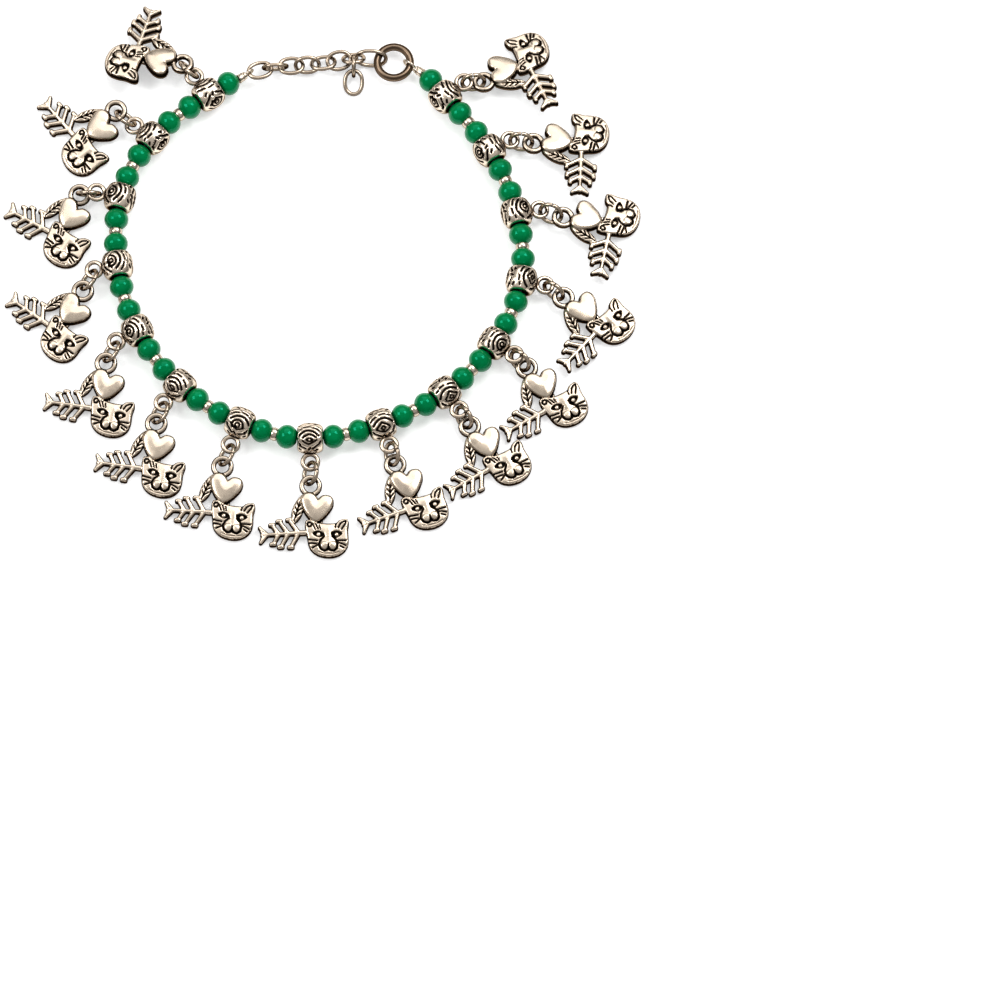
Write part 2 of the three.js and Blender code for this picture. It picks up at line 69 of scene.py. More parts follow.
# The closed route in plan, millimetres, from the left crimp round the front to the clasp ring.
route_points = [
    (-16.4, 38.0, 0.35), (-22.1, 34.9, 0), (-34.0, 25.0, 0), (-40.6, 12.1, 0),
    (-41.1, -3.1, 0), (-36.9, -17.4, 0), (-28.6, -28.9, 0), (-17.2, -36.8, 0),
    (-2.9, -40.7, 0), (12.1, -37.8, 0), (25.8, -30.5, 0), (35.7, -19.9, 0),
    (41.3, -6.4, 0), (40.4, 8.3, 0), (34.9, 22.1, 0), (25.8, 34.0, 0),
    (21.4, 39.2, 0.7), (16.0, 42.4, 1.2), (7.4, 43.0, 0.95), (1.8, 41.7, 0.75),
    (-5.7, 41.2, 1.1), (-12.3, 40.6, 0.9),
]

# The chain's links from the left crimp to the clasp ring: length, width and roll about the length.
chain_rows = [
    ("chain_link_1", link_length, link_width, 12),
    ("chain_link_2", link_length, link_width, 84),
    ("chain_link_3", link_length, link_width, 10),
    ("chain_link_4", link_length, link_width, -52),
    ("chain_link_5", link_length, link_width, 26),
    ("chain_link_6", link_length, link_width, -18),
    ("knot_link", 4.9 * mm, link_width, 42),
    ("hook_link", 6.7 * mm, 4.5 * mm, -60),
]


def interlocked(length_a, wire_a, length_b, wire_b, play):
    """Distance between the centres of two interlocked rings."""
    return (length_a - wire_a) / 2 + (length_b - wire_b) / 2 - (wire_a + wire_b) / 2 - play


left_eye_hole = link_wire + 2 * eye_clearance
right_eye_hole = clasp_section + 2 * clasp_clearance
clasp_length = clasp_hole + 2 * clasp_section


def chain_plan():
    """Where each link sits behind the left crimp, the clasp ring, and the far crimp's end."""
    at = crimp_length + (left_eye_hole + 2 * eye_wire) / 2 - eye_wire / 2
    last_length, last_wire, play = left_eye_hole + 2 * eye_wire, eye_wire, eye_clearance
    places = []
    for _, length, _, _ in chain_rows:
        at += interlocked(last_length, last_wire, length, link_wire, play)
        places.append(at)
        last_length, last_wire, play = length, link_wire, link_play
    clasp = at + interlocked(last_length, link_wire, clasp_length, clasp_section, clasp_clearance)
    eye_length = right_eye_hole + 2 * eye_wire
    eye = clasp + interlocked(clasp_length, clasp_section, eye_length, eye_wire, clasp_clearance)
    return places, clasp, eye + eye_length / 2 - eye_wire / 2 + crimp_length


link_places, clasp_place, chain_length = chain_plan()
string_length = (
    2 * barrel_count * green_length
    + barrel_count * (barrel_slot + 2 * piece_gap)
    + (barrel_count - 1) * spacer_length
    + 2 * piece_gap
)
loop_length = string_length + chain_length


def closed_curve(points, steps=300):
    """A closed Catmull-Rom curve through the points, sampled evenly in parameter."""
    points = np.asarray(points, float)
    t = np.linspace(0, 1, steps, endpoint=False)[:, None]
    pieces = []
    for i in range(len(points)):
        a, b, c, d = (points[(i + k) % len(points)] for k in (-1, 0, 1, 2))
        leave, arrive = (c - a) / 2, (d - b) / 2
        curved = (2 * b - 2 * c + leave + arrive) * t**3
        curved += (-3 * b + 3 * c - 2 * leave - arrive) * t**2 + leave * t + b
        pieces.append(curved)
    return np.vstack(pieces + [pieces[0][:1]])


def lengths_along(curve):
    """Distance run along a sampled curve at each of its samples."""
    return np.concatenate([[0], np.cumsum(np.linalg.norm(np.diff(curve, axis=0), axis=1))])


def lay_route():
    """The route in metres, scaled in plan so that it is as long as the pieces on it."""
    plan = np.array([(x, y) for x, y, _ in route_points]) * mm
    drop = np.array([[d] for _, _, d in route_points]) * mm
    scale = loop_length / lengths_along(closed_curve(plan))[-1]
    return closed_curve(np.hstack([plan * scale, barrel_diameter / 2 - drop]))


route = lay_route()
route_run = lengths_along(route)


def route_at(distance):
    share = (distance / loop_length) % 1.0
    return np.array([np.interp(share * route_run[-1], route_run, route[:, k]) for k in range(3)])


def matrix_of(x, y, z, place):
    made = Matrix.Identity(4)
    for column, axis in enumerate((x, y, z, place)):
        for row in range(3):
            made[row][column] = float(axis[row])
    return made


def unit(v):
    return np.asarray(v, float) / np.linalg.norm(v)


up = np.array([0.0, 0.0, 1.0])


def frame_at(distance):
    """The frame on the route: x outward, y along the string, z up."""
    step = 0.02 * mm
    along = unit(route_at(distance + step) - route_at(distance - step))
    outward = unit(np.cross(along, up))
    return matrix_of(outward, along, np.cross(outward, along), route_at(distance))


def chord_frame(start, end, roll):
    """x on the chord between two distances along the route, its plane turned by roll."""
    a, b = route_at(start), route_at(end)
    along = unit(b - a)
    side = unit(np.cross(up, along))
    turned = matrix_of(along, side, np.cross(along, side), (a + b) / 2)
    return turned @ Matrix.Rotation(math.radians(roll), 4, "X")


# The CAD part stands over the middle of its own box, so the route is moved by the same amount.
clasp_frame = chord_frame(
    -clasp_place - clasp_length / 2, -clasp_place + clasp_length / 2, 0
)
clasp_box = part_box("clasp_ring")
shift = (Vector(clasp_box[0]) + Vector(clasp_box[1])) / 2 - clasp_frame.to_translation()
moved = Matrix.Translation(shift)


class Value:
    """A shader socket that adds a Math node for each operator."""

    def __init__(self, tree, socket):
        self.tree, self.socket = tree, socket

    def math(self, operation, other):
        return node(self.tree, "ShaderNodeMath", {"operation": operation}, [self, other], 0)

    def __add__(self, other):
        return self.math("ADD", other)

    __radd__ = __add__

    def __mul__(self, other):
        return self.math("MULTIPLY", other)

    __rmul__ = __mul__

    def __sub__(self, other):
        return self.math("SUBTRACT", other)

    def __rsub__(self, other):
        return (self * -1.0) + other

    def clamp(self):
        return node(self.tree, "ShaderNodeClamp", {}, [self, 0.0, 1.0], 0)

    def smooth(self, low, high):
        """0 below low, 1 above high, and smooth between."""
        settings = {"interpolation_type": "SMOOTHSTEP"}
        return node(self.tree, "ShaderNodeMapRange", settings, [self, low, high, 0.0, 1.0], 0)


def node(tree, kind, settings, inputs, output):
    """Adds one node: its settings, then the values or links of its sockets, and gives an output."""
    made = tree.nodes.new(kind)
    for name, value in settings.items():
        setattr(made, name, value)
    pairs = inputs.items() if isinstance(inputs, dict) else enumerate(inputs)
    for key, value in pairs:
        if isinstance(value, Value):
            tree.links.new(value.socket, made.inputs[key])
        else:
            made.inputs[key].default_value = value
    return Value(tree, made.outputs[output])


def new_material(name):
    """A material with only a Principled shader, its tree and that shader."""
    material = bpy.data.materials.new(name)
    material.use_nodes = True
    return material, material.node_tree, material.node_tree.nodes["Principled BSDF"]


def feed(tree, shader, **sockets):
    for name, value in sockets.items():
        socket = shader.inputs[name.replace("_", " ")]
        if isinstance(value, Value):
            tree.links.new(value.socket, socket)
        else:
            socket.default_value = value


def mix_colour(tree, share, first, second):
    settings = {"data_type": "RGBA"}
    return node(tree, "ShaderNodeMix", settings, {0: share, 6: first, 7: second}, 2)


def noise(tree, scale, detail=3.0, rough=0.5):
    """Noise in the object's own place, about -1 to 1."""
    place = node(tree, "ShaderNodeTexCoord", {}, [], "Object")
    sockets = {"Vector": place, "Scale": scale, "Detail": detail, "Roughness": rough}
    return (node(tree, "ShaderNodeTexNoise", {}, sockets, 0) - 0.5) * 2.0


def stored(tree, name):
    """A number stored on the piece's own points."""
    return node(tree, "ShaderNodeAttribute", {"attribute_name": name}, [], "Fac")


def bumped(tree, height, distance, strength=1.0):
    sockets = {"Height": height, "Distance": distance, "Strength": strength}
    return node(tree, "ShaderNodeBump", {}, sockets, "Normal")


glass_deep, glass_pale = (0.0, 0.135, 0.034, 1), (0.0, 0.185, 0.05, 1)
glass_gleam = (0.03, 1.0, 0.66, 1)


def green_glass():
    material, tree, shader = new_material("green_glass")
    cloud = noise(tree, 420.0, 2.0)
    feed(
        tree,
        shader,
        Base_Color=mix_colour(tree, cloud.smooth(-0.6, 0.7), glass_deep, glass_pale),
        Roughness=noise(tree, 900.0) * 0.02 + 0.07,
        Normal=bumped(tree, noise(tree, 700.0, 2.0), 0.00002),
    )
    shader.inputs["IOR"].default_value = 1.47
    shader.inputs["Specular Tint"].default_value = glass_gleam
    return material


def mesh_object(name, points, faces, numbers=None, smooth=True):
    """A new object, its place in its points; numbers are stored on the points by name."""
    mesh = bpy.data.meshes.new(name)
    mesh.from_pydata([tuple(p) for p in points], [], [tuple(f) for f in faces])
    for key, values in (numbers or {}).items():
        layer = mesh.attributes.new(key, "FLOAT", "POINT")
        layer.data.foreach_set("value", np.asarray(values, np.float32))
    mesh.polygons.foreach_set("use_smooth", [smooth] * len(mesh.polygons))
    mesh.update()
    made = bpy.data.objects.new(name, mesh)
    bpy.context.scene.collection.objects.link(made)
    return made


def turned(profile, sides, closed=False):
    """Points and faces of (radius, along) turned about Y; an open profile is capped to the axis."""
    profile = np.asarray(profile, float)
    angles = np.arange(sides) * 2 * math.pi / sides
    points, faces = [], []
    for radius, along in profile:
        for angle in angles:
            points.append((radius * math.cos(angle), along, -radius * math.sin(angle)))
    rows = len(profile)
    for row in range(rows if closed else rows - 1):
        a, b = row * sides, ((row + 1) % rows) * sides
        for k in range(sides):
            n = (k + 1) % sides
            faces.append((a + k, a + n, b + n, b + k))
    if not closed:
        points += [(0, profile[0][1], 0), (0, profile[-1][1], 0)]
        first, last = len(points) - 2, len(points) - 1
        for k in range(sides):
            n = (k + 1) % sides
            faces.append((first, n, k))
            faces.append((last, (rows - 1) * sides + k, (rows - 1) * sides + n))
    return np.array(points), faces


def strung(name, model, frames, material, size_name):
    """Copies of a model on the given frames, set there by a Geometry Nodes tree, as one mesh."""
    spots = mesh_object(name, [f.to_translation() for f in frames], [])
    turn = spots.data.attributes.new("turn", "QUATERNION", "POINT")
    flat = [part for f in frames for part in f.to_quaternion()]
    turn.data.foreach_set("value", flat)
    tree = bpy.data.node_groups.new("lay_" + name, "GeometryNodeTree")
    face = tree.interface
    face.new_socket("Places", in_out="INPUT", socket_type="NodeSocketGeometry")
    face.new_socket("Model", in_out="INPUT", socket_type="NodeSocketObject")
    face.new_socket(size_name, in_out="INPUT", socket_type="NodeSocketFloat")
    face.new_socket("Pieces", in_out="OUTPUT", socket_type="NodeSocketGeometry")
    nodes, links = tree.nodes, tree.links
    entry, leave = nodes.new("NodeGroupInput"), nodes.new("NodeGroupOutput")
    bring = nodes.new("GeometryNodeObjectInfo")
    put = nodes.new("GeometryNodeInstanceOnPoints")
    turned_by = nodes.new("GeometryNodeInputNamedAttribute")
    turned_by.data_type = "QUATERNION"
    turned_by.inputs["Name"].default_value = "turn"
    real = nodes.new("GeometryNodeRealizeInstances")
    finish = nodes.new("GeometryNodeSetMaterial")
    finish.inputs["Material"].default_value = material
    links.new(entry.outputs["Places"], put.inputs["Points"])
    links.new(entry.outputs["Model"], bring.inputs["Object"])
    links.new(bring.outputs["Geometry"], put.inputs["Instance"])
    links.new(turned_by.outputs["Attribute"], put.inputs["Rotation"])
    links.new(entry.outputs[size_name], put.inputs["Scale"])
    links.new(put.outputs["Instances"], real.inputs["Geometry"])
    links.new(real.outputs["Geometry"], finish.inputs["Geometry"])
    links.new(finish.outputs["Geometry"], leave.inputs["Pieces"])
    modifier = spots.modifiers.new("lay", "NODES")
    modifier.node_group = tree
    sockets = {item.name: item.identifier for item in face.items_tree if item.in_out == "INPUT"}
    modifier[sockets["Model"]] = model
    modifier[sockets[size_name]] = 1.0
    return settled(spots, model, material)


def settled(made, model, material):
    """The evaluated result as a plain mesh, without its modifier and its model."""
    graph = bpy.context.evaluated_depsgraph_get()
    plain = bpy.data.meshes.new_from_object(made.evaluated_get(graph))
    made.modifiers.clear()
    made.data = plain
    plain.materials.clear()
    plain.materials.append(material)
    bpy.data.objects.remove(model)
    return made


def bead_profile(radius, length, end_radius, steps):
    """Half a bead's section as an ellipse cut off at its flat ends."""
    reach = (length / 2) / math.sqrt(1 - (end_radius / radius) ** 2)
    along = -np.cos(np.linspace(0.0, math.pi, steps)) * length / 2
    return [(radius * math.sqrt(max(1 - (a / reach) ** 2, 0.0)), a) for a in along]


green_places = []
spacer_places = []
barrel_places = []
at = piece_gap
for barrel in range(barrel_count):
    if barrel:
        spacer_places.append(at + spacer_length / 2)
        at += spacer_length
    green_places.append(at + green_length / 2)
    at += green_length + piece_gap
    barrel_places.append(at + barrel_slot / 2)
    at += barrel_slot + piece_gap
    green_places.append(at + green_length / 2)
    at += green_length

glass = green_glass()
hole_radius = 0.62 * mm
hole_end = green_length / 2 - 0.25 * mm
profile = bead_profile(green_diameter / 2, green_length, 1.05 * mm, 25)
profile = [(hole_radius, -hole_end)] + profile + [(hole_radius, hole_end)]
bead_model = mesh_object("green_bead_model", *turned(profile, 40))
green_beads = strung(
    "green_beads", bead_model, [moved @ frame_at(d) for d in green_places], glass, "Bead size"
)
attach(green_beads, "root")
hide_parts("bead_strand")

# The spacers and the thread: small smooth silver-plated rings that part the pairs of green beads,
# and the round elastic cord that all the beads are threaded on.


# Dark colours of the oxide; they also colour the painted shade stored in the same number.
oxide_and_shade_brown, oxide_and_shade_black = (0.1, 0.064, 0.04, 1), (0.004, 0.003, 0.0025, 1)
edge_tint = (0.3, 0.25, 0.2, 1)


def silver(name, tint, shine, worn=0.0):
    """Cast or drawn metal with a warm antique plating; the stored number, 1 in recesses, holds
    oxide and painted shade.
    """
    material, tree, shader = new_material(name)
    oxide_and_shade = stored(tree, "oxide_and_shade")
    patch = noise(tree, 430.0, 2.5, 0.5)
    grain = noise(tree, 4200.0, 2.0)
    dark = (oxide_and_shade + patch * 0.12 * oxide_and_shade).clamp()
    dull = tuple(0.75 * c for c in tint) + (1,)
    plate = mix_colour(tree, patch.smooth(-0.7, 0.7), dull, tint + (1,))
    brown = mix_colour(tree, dark.smooth(0.1, 0.6), plate, oxide_and_shade_brown)
    black = mix_colour(tree, dark.smooth(0.5, 0.9), brown, oxide_and_shade_black)
    feed(
        tree,
        shader,
        Base_Color=black,
        Metallic=1.0,
        Roughness=dark.smooth(0.3, 0.9) * 0.25 + patch * 0.09 + grain * worn + shine,
        Normal=bumped(tree, patch * 0.7 + grain * 0.1, 0.00003, 0.4),
    )
    shader.inputs["Specular Tint"].default_value = edge_tint
    return material


antique = silver("antique_silver", (0.80, 0.67, 0.53), 0.27, 0.02)
# The barrels' copy of the plating is lighter: rubbed plating with a painted highlight.
rubbed_and_lit = silver("rubbed_and_lit_silver", (0.93, 0.79, 0.64), 0.22, 0.02)
polished = silver("polished_silver", (0.75, 0.635, 0.51), 0.2)

spacer_diameter = 2.75 * mm
half = spacer_length / 2 * 1.25
spacer_profile = [
    (0.55 * mm, -half),
    (0.8 * spacer_diameter / 2, -half),
    (0.95 * spacer_diameter / 2, -0.7 * half),
    (spacer_diameter / 2, -0.25 * half),
    (spacer_diameter / 2, 0.25 * half),
    (0.95 * spacer_diameter / 2, 0.7 * half),
    (0.8 * spacer_diameter / 2, half),
    (0.55 * mm, half),
]
points, faces = turned(spacer_profile, 32, closed=True)
edge = np.abs(points[:, 1]) / half
spacer_model = mesh_object(
    "spacer_model", points, faces, {"oxide_and_shade": np.clip(edge - 0.72, 0, 1) * 2.4}
)
spacers = strung(
    "spacers", spacer_model, [moved @ frame_at(d) for d in spacer_places], polished, "Spacer size"
)
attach(spacers, "root")
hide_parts("bead_strand")


def rope(centres, radius, sides, closed=False):
    """A round wire along the centres, with a frame carried along it; open ends are capped."""
    centres = np.asarray(centres, float)
    count = len(centres)
    if closed:
        ahead = np.roll(centres, -1, axis=0) - np.roll(centres, 1, axis=0)
    else:
        ahead = np.gradient(centres, axis=0)
    ahead /= np.linalg.norm(ahead, axis=1)[:, None]
    normal = np.cross(ahead[0], up)
    if np.linalg.norm(normal) < 0.1:
        normal = np.cross(ahead[0], (1.0, 0.0, 0.0))
    points = []
    for i in range(count):
        normal = unit(normal - ahead[i] * np.dot(normal, ahead[i]))
        other = np.cross(ahead[i], normal)
        for k in range(sides):
            angle = 2 * math.pi * k / sides
            spoke = math.cos(angle) * normal + math.sin(angle) * other
            points.append(centres[i] + radius * spoke)
    faces = []
    for i in range(count if closed else count - 1):
        a, b = i * sides, ((i + 1) % count) * sides
        for k in range(sides):
            n = (k + 1) % sides
            faces.append((a + k, a + n, b + n, b + k))
    if not closed:
        faces.append(tuple(range(sides - 1, -1, -1)))
        faces.append(tuple((count - 1) * sides + k for k in range(sides)))
    return np.array(points), faces


fibre_dark, fibre_grey = (0.02, 0.026, 0.022, 1), (0.05, 0.055, 0.048, 1)


def elastic():
    material, tree, shader = new_material("elastic_thread")
    fibre = noise(tree, 2600.0, 2.0)
    feed(
        tree,
        shader,
        Base_Color=mix_colour(tree, fibre.smooth(-0.5, 0.6), fibre_dark, fibre_grey),
        Roughness=fibre * 0.08 + 0.55,
        Normal=bumped(tree, fibre, 0.00004),
    )
    return material


thread_line = [
    np.array(moved @ Vector(route_at(d)))
    for d in np.linspace(-0.5 * mm, string_length + 0.5 * mm, 400)
]
thread = mesh_object("thread", *rope(thread_line, 0.42 * mm, 8))
thread.data.materials.append(elastic())
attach(thread, "root")
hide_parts("bead_strand")

# The barrel beads: cast zinc alloy with an antique silver plating, a wide hole for the thread and
# a round bail cast on one side. Each has carved marks that were left dark when it was polished.
barrel_length = 5.34 * mm
barrel_end_radius = 2.42 * mm
carve_depth = 0.2 * mm
bore_mouth, bore_neck, bore_slope = 0.62, 0.5, 3.0 * mm
bail_radius = 1.58 * mm
bail_wire = 0.92 * mm
bail_offset = 4.9 * mm

# How each charm lies, in degrees, apart from reach, the plan distance in millimetres from the bail
# to the charm's loop: droop, swing, reach, lean, heading, pitch, roll.
charm_poses = [
    (0, 10, 3.3, 10, 34, 8, -12),
    (10, -3, 5.1, 20, 75, 6, 0),
    (-3, 12, 3.5, 0, 70, 5, 0),
    (10, 56, 5.1, 20, 43, 6, 0),
    (10, 40, 5.1, 20, 52, 6, 0),
    (10, 26, 4.7, 25, 32, 6, 0),
    (10, 4, 5.0, 20, 16, 6, 0),
    (10, 0, 5.1, 20, -1, 6, 0),
    (-3, -2, 3.9, 15, -4, 5, 0),
    (-3, -1, 3.7, 10, -10, 5, 0),
    (-3, -9, 3.4, 10, -31, 5, 0),
    (8, -26, 4.6, 0, -37, 6, 3),
    (10, -33, 5.1, 15, -29, 6, 5),
    (5, -37, 4.8, 10, -37, 4, 8),
    (-3, -34, 4.1, 5, -19, 3, 12),
]

# How each bead is turned on the thread: its main motif, the degrees from the top towards the bail,
# the millimetres along the string, and 1 or -1 for the way round it is strung.
motifs = [
    ("eye", 61, -0.2, 1),
    ("eye", 56, -0.2, -1),
    ("curl", 36, -0.2, 1),
    ("curl", 26, -0.2, 1),
    ("curl", 41, -0.2, -1),
    ("eye", 41, -0.2, 1),
    ("curl", 31, -0.1, -1),
    ("eye", 26, -0.18, 1),
    ("lozenge", 36, 0.1, -1),
    ("lozenge", 46, 0.1, 1),
    ("curl", 41, 0.2, -1),
    ("lozenge", 46, 0.2, 1),
    ("curl", 36, 0.2, 1),
    ("eye", 71, 0.0, -1),
    ("eye", 56, 0.1, 1),
]


def stroke_distance(places, line):
    """Distance from each place to a line of joined straight strokes, in the same units."""
    line = np.asarray(line, float)
    best = np.full(len(places), 1e9)
    for a, b in zip(line[:-1], line[1:]):
        run = b - a
        share = np.clip((places - a) @ run / max(run @ run, 1e-12), 0, 1)
        best = np.minimum(best, np.linalg.norm(places - a - share[:, None] * run, axis=1))
    return best


def arc(x, y, radius, start, end, flat=1.0):
    angles = np.radians(np.linspace(start, end, 25))
    return np.stack([x + radius * np.cos(angles), y + flat * radius * np.sin(angles)], axis=1)


def smoothstep(low, high, value):
    t = np.clip((value - low) / (high - low), 0, 1)
    return t * t * (3 - 2 * t)


def carved_marks(kind):
    """Strokes of the carving round a motif at (0, 0): (line, half width), millimetres. The first
    number runs along the string, the second round the barrel towards the bail."""
    brow = [(-1.3, -0.45), (-0.95, -0.82), (-0.05, -1.17), (0.7, -0.94), (1.35, -0.5)]
    if kind == "eye":
        motif = [
            (arc(0, 0.22, 0.68, 200, 340, 0.75), 0.171),
            (arc(0, -0.22, 0.68, 20, 160, 0.75), 0.171),
            (brow, 0.217),
        ]
    elif kind == "curl":
        motif = [(arc(0, 0, 0.45, 150, 460), 0.194), (arc(0, 0.05, 1.17, 185, 400, 0.95), 0.217)]
    else:
        small = [(-0.5, 0), (0, -0.42), (0.5, 0), (0, 0.42), (-0.5, 0)]
        motif = [(small, 0.171), ([(-1.35, -0.15), (0, -1.2), (1.3, -0.2)], 0.217)]
    return motif + [
        ([(-2.3, -0.75), (-1.76, -1.45), (-0.95, -1.95), (-0.18, -2.05)], 0.228),
        ([(-0.18, -2.05), (0.7, -1.85), (1.35, -1.4), (1.85, -0.9)], 0.228),
        ([(-1.4, 0.25), (-0.85, 0.62), (-0.15, 0.95), (0.6, 0.6), (1.5, 0.05)], 0.205),
        ([(2.3, 0.4), (2.0, 0.95), (1.3, 1.45), (0.7, 2.0)], 0.228),
        ([(-2.35, 0.35), (-2.15, 0.95), (-1.85, 1.15)], 0.228),
        ([(-1.95, 1.55), (-1.35, 1.7), (-0.75, 2.0)], 0.205),
        ([(0.2, 1.75), (-0.15, 2.35)], 0.205),
        ([(1.55, 2.35), (1.15, 2.75)], 0.228),
        ([(-2.2, 2.3), (-1.8, 2.7)], 0.228),
        ([(-2.15, -2.6), (-1.7, -2.65)], 0.205),
        ([(-1.2, -2.95), (-0.1, -3.05)], 0.205),
        ([(0.75, -2.75), (1.5, -2.55), (2.15, -2.1)], 0.205),
    ]


def barrel_radius_at(along):
    """The barrel's bulge, and the rounded rims at its two ends."""
    share = np.abs(along) / (barrel_length / 2)
    bulge = barrel_diameter / 2 - 0.01 * mm
    body = bulge - (bulge - barrel_end_radius) * share**2.6
    rim = smoothstep(0.9, 1.0, share) ** 2 * 0.35 * mm
    return body - rim


def carved_barrel(motif):
    """Points, faces, and oxide with painted shade, of one barrel: x towards the bail, y along the
    string, z up.
    """
    kind, toward, offset, way = motif
    around, steps = 132, 40
    along = -np.cos(np.linspace(0, math.pi, steps)) * 0.5 + np.linspace(-0.5, 0.5, steps)
    along = along / along.max() * barrel_length / 2
    angle = np.arange(around) * 2 * math.pi / around
    y, a = np.meshgrid(along, angle, indexing="ij")
    radius = barrel_radius_at(y)
    cut = np.zeros(y.size)
    for turn, marks in ((0, kind), (118, "lozenge"), (-122, "curl")):
        run = (a - math.radians(toward + turn) + math.pi) % (2 * math.pi) - math.pi
        places = np.stack([(way * y / mm - offset).ravel(), (run * 3.15).ravel()], axis=1)
        for line, half_width in carved_marks(marks):
            away = stroke_distance(places, line)
            groove = 1 - smoothstep(half_width * 0.75, half_width * 1.4, away)
            cut = np.maximum(cut, groove)
    cut = cut.reshape(y.shape)
    cut *= 1 - smoothstep(0.86, 0.94, np.abs(y) / (barrel_length / 2))
    radius = radius - cut * carve_depth
    skin = np.stack([radius * np.sin(a), y, radius * np.cos(a)], axis=-1).reshape(-1, 3)
    # Painted shade: darker at the rims where the barrel meets its neighbours, and down its
    # underside.
    rim = smoothstep(0.95, 1.0, np.abs(y) / (barrel_length / 2)) * 0.4
    painted_under_shade = 0.35 * smoothstep(0.25, 0.8, -np.cos(a) * radius / barrel_diameter * 2)
    oxide_and_shade = np.maximum.reduce([cut, rim, painted_under_shade]).ravel()
    bore = []
    for end, share in ((-1, bore_neck), (-1, bore_mouth), (1, bore_mouth), (1, bore_neck)):
        depth = barrel_length / 2 - (bore_mouth - share) * bore_slope
        reach = share * barrel_end_radius
        bore.append([(reach * math.sin(t), end * depth, reach * math.cos(t)) for t in angle])
    points = bore[0] + bore[1] + list(skin) + bore[2] + bore[3]
    oxide_and_shade = np.concatenate([np.ones(2 * around), oxide_and_shade, np.ones(2 * around)])
    rows = steps + 4
    faces = []
    for row in range(rows):
        here, there = row * around, ((row + 1) % rows) * around
        for k in range(around):
            n = (k + 1) % around
            faces.append((here + k, here + n, there + n, there + k))
    return np.array(points), faces, oxide_and_shade


def ring_line(radius, count, gap=0.0, stretch=0.0):
    """Centres of an oval ring in the XY plane, longer along X, with a slit if it has a gap."""
    if gap:
        angles = np.radians(90) + np.linspace(gap / 2, 2 * math.pi - gap / 2, count)
    else:
        angles = np.arange(count) * 2 * math.pi / count
    x, y = (radius + stretch) * np.cos(angles), radius * np.sin(angles)
    return np.stack([x, y * (1 + 0.12 * (stretch > 0) * np.cos(angles) ** 2), 0 * x], axis=1)


def placed(points, matrix):
    m = np.array(matrix)
    return np.asarray(points) @ m[:3, :3].T + m[:3, 3]


def joined(parts):
    """Several (points, faces, oxide and painted shade) as one mesh."""
    points, faces, oxide_and_shade, base = [], [], [], 0
    for p, f, o in parts:
        points.append(p)
        faces += [tuple(i + base for i in face) for face in f]
        oxide_and_shade.append(o)
        base += len(p)
    return np.vstack(points), faces, np.concatenate(oxide_and_shade)


def wire_ring(radius, wire, count, sides, gap=0.0, stretch=0.0):
    """Points and faces of a ring of round wire in the XY plane."""
    return rope(ring_line(radius, count, gap, stretch), wire / 2, sides, closed=not gap)


def painted_side_shade(made):
    """Painted shade on a wire: bright where it faces up and dark down its sides."""
    normals = np.zeros(3 * len(made.data.vertices), np.float32)
    made.data.vertex_normals.foreach_get("vector", normals)
    return side_shade * (1 - smoothstep(0.1, 0.8, normals[2::3]))


# Stores oxide and painted shade on the piece's points under one name.
def keep_oxide_and_shade(made, values):
    layer = made.data.attributes.new("oxide_and_shade", "FLOAT", "POINT")
    layer.data.foreach_set("value", np.asarray(values, np.float32))


# How dark the painted shade down the sides of the wires is.
side_shade = 0.72
barrel_parts = []
bail_frames = []
for i, (pose, motif) in enumerate(zip(charm_poses, motifs)):
    stand = moved @ frame_at(barrel_places[i])
    points, faces, oxide_and_shade = carved_barrel(motif)
    barrel_parts.append((placed(points, stand), faces, oxide_and_shade))
    drooped = stand @ Matrix.Rotation(math.radians(pose[0]), 4, "Y")
    bail_frames.append(drooped @ Matrix.Translation((bail_offset, 0, 0)))

# The bails' copy of the plating is darker: browned plating with painted shade.
browned_and_shaded = silver("browned_and_shaded_silver", (0.68, 0.56, 0.44), 0.25, 0.02)
names = ["bail_bead_%02d" % (i + 1) for i in range(barrel_count)]
points, faces, oxide_and_shade = joined(barrel_parts)
barrels = mesh_object("barrel_beads", points, faces, {"oxide_and_shade": oxide_and_shade})
barrels.data.materials.append(rubbed_and_lit)
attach(barrels, "root")
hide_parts(*names)
bail_model = mesh_object("bail_model", *wire_ring(bail_radius, bail_wire, 56, 16))
bails = strung("bails", bail_model, bail_frames, browned_and_shaded, "Bail size")
spots = np.zeros(3 * len(bails.data.vertices), np.float32)
bails.data.vertices.foreach_get("co", spots)
hubs = np.array([(moved @ frame_at(d)).to_translation() for d in barrel_places])
away = np.linalg.norm(spots.reshape(-1, 1, 3) - hubs, axis=2).min(axis=1)
foot = 0.9 * (1 - smoothstep(barrel_diameter / 2, barrel_diameter / 2 + 0.5 * mm, away))
# Painted shade down the bails' sides, and oxide where each joins its barrel.
keep_oxide_and_shade(bails, np.maximum(painted_side_shade(bails), foot))
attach(bails, "root")
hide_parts(*names)

# The charms: flat-backed castings in one piece, each with a loop, a smooth domed heart, a cat's
# head, a leaf and an openwork fishbone. The carved lines and the joints between the shapes are
# oxidised black, and the raised parts are rubbed bright.
# The castings' side walls and steep slopes are darkened with painted shade.
loop_hole_radius = 1.3 * mm
loop_radius = 2.34 * mm
loop_thickness = 1.0 * mm
casting_step = 0.13
edge_height = 0.62
# The wall from its top edge down to the back: height in millimetres, and oxide with painted shade.
wall_rows = [(edge_height, 0.82), (0.3, 0.48), (0.08, 0.58), (0.0, 0.82)]
groove_depth = 0.3
eyeball_radius = 0.56
lobe_radius = 0.9

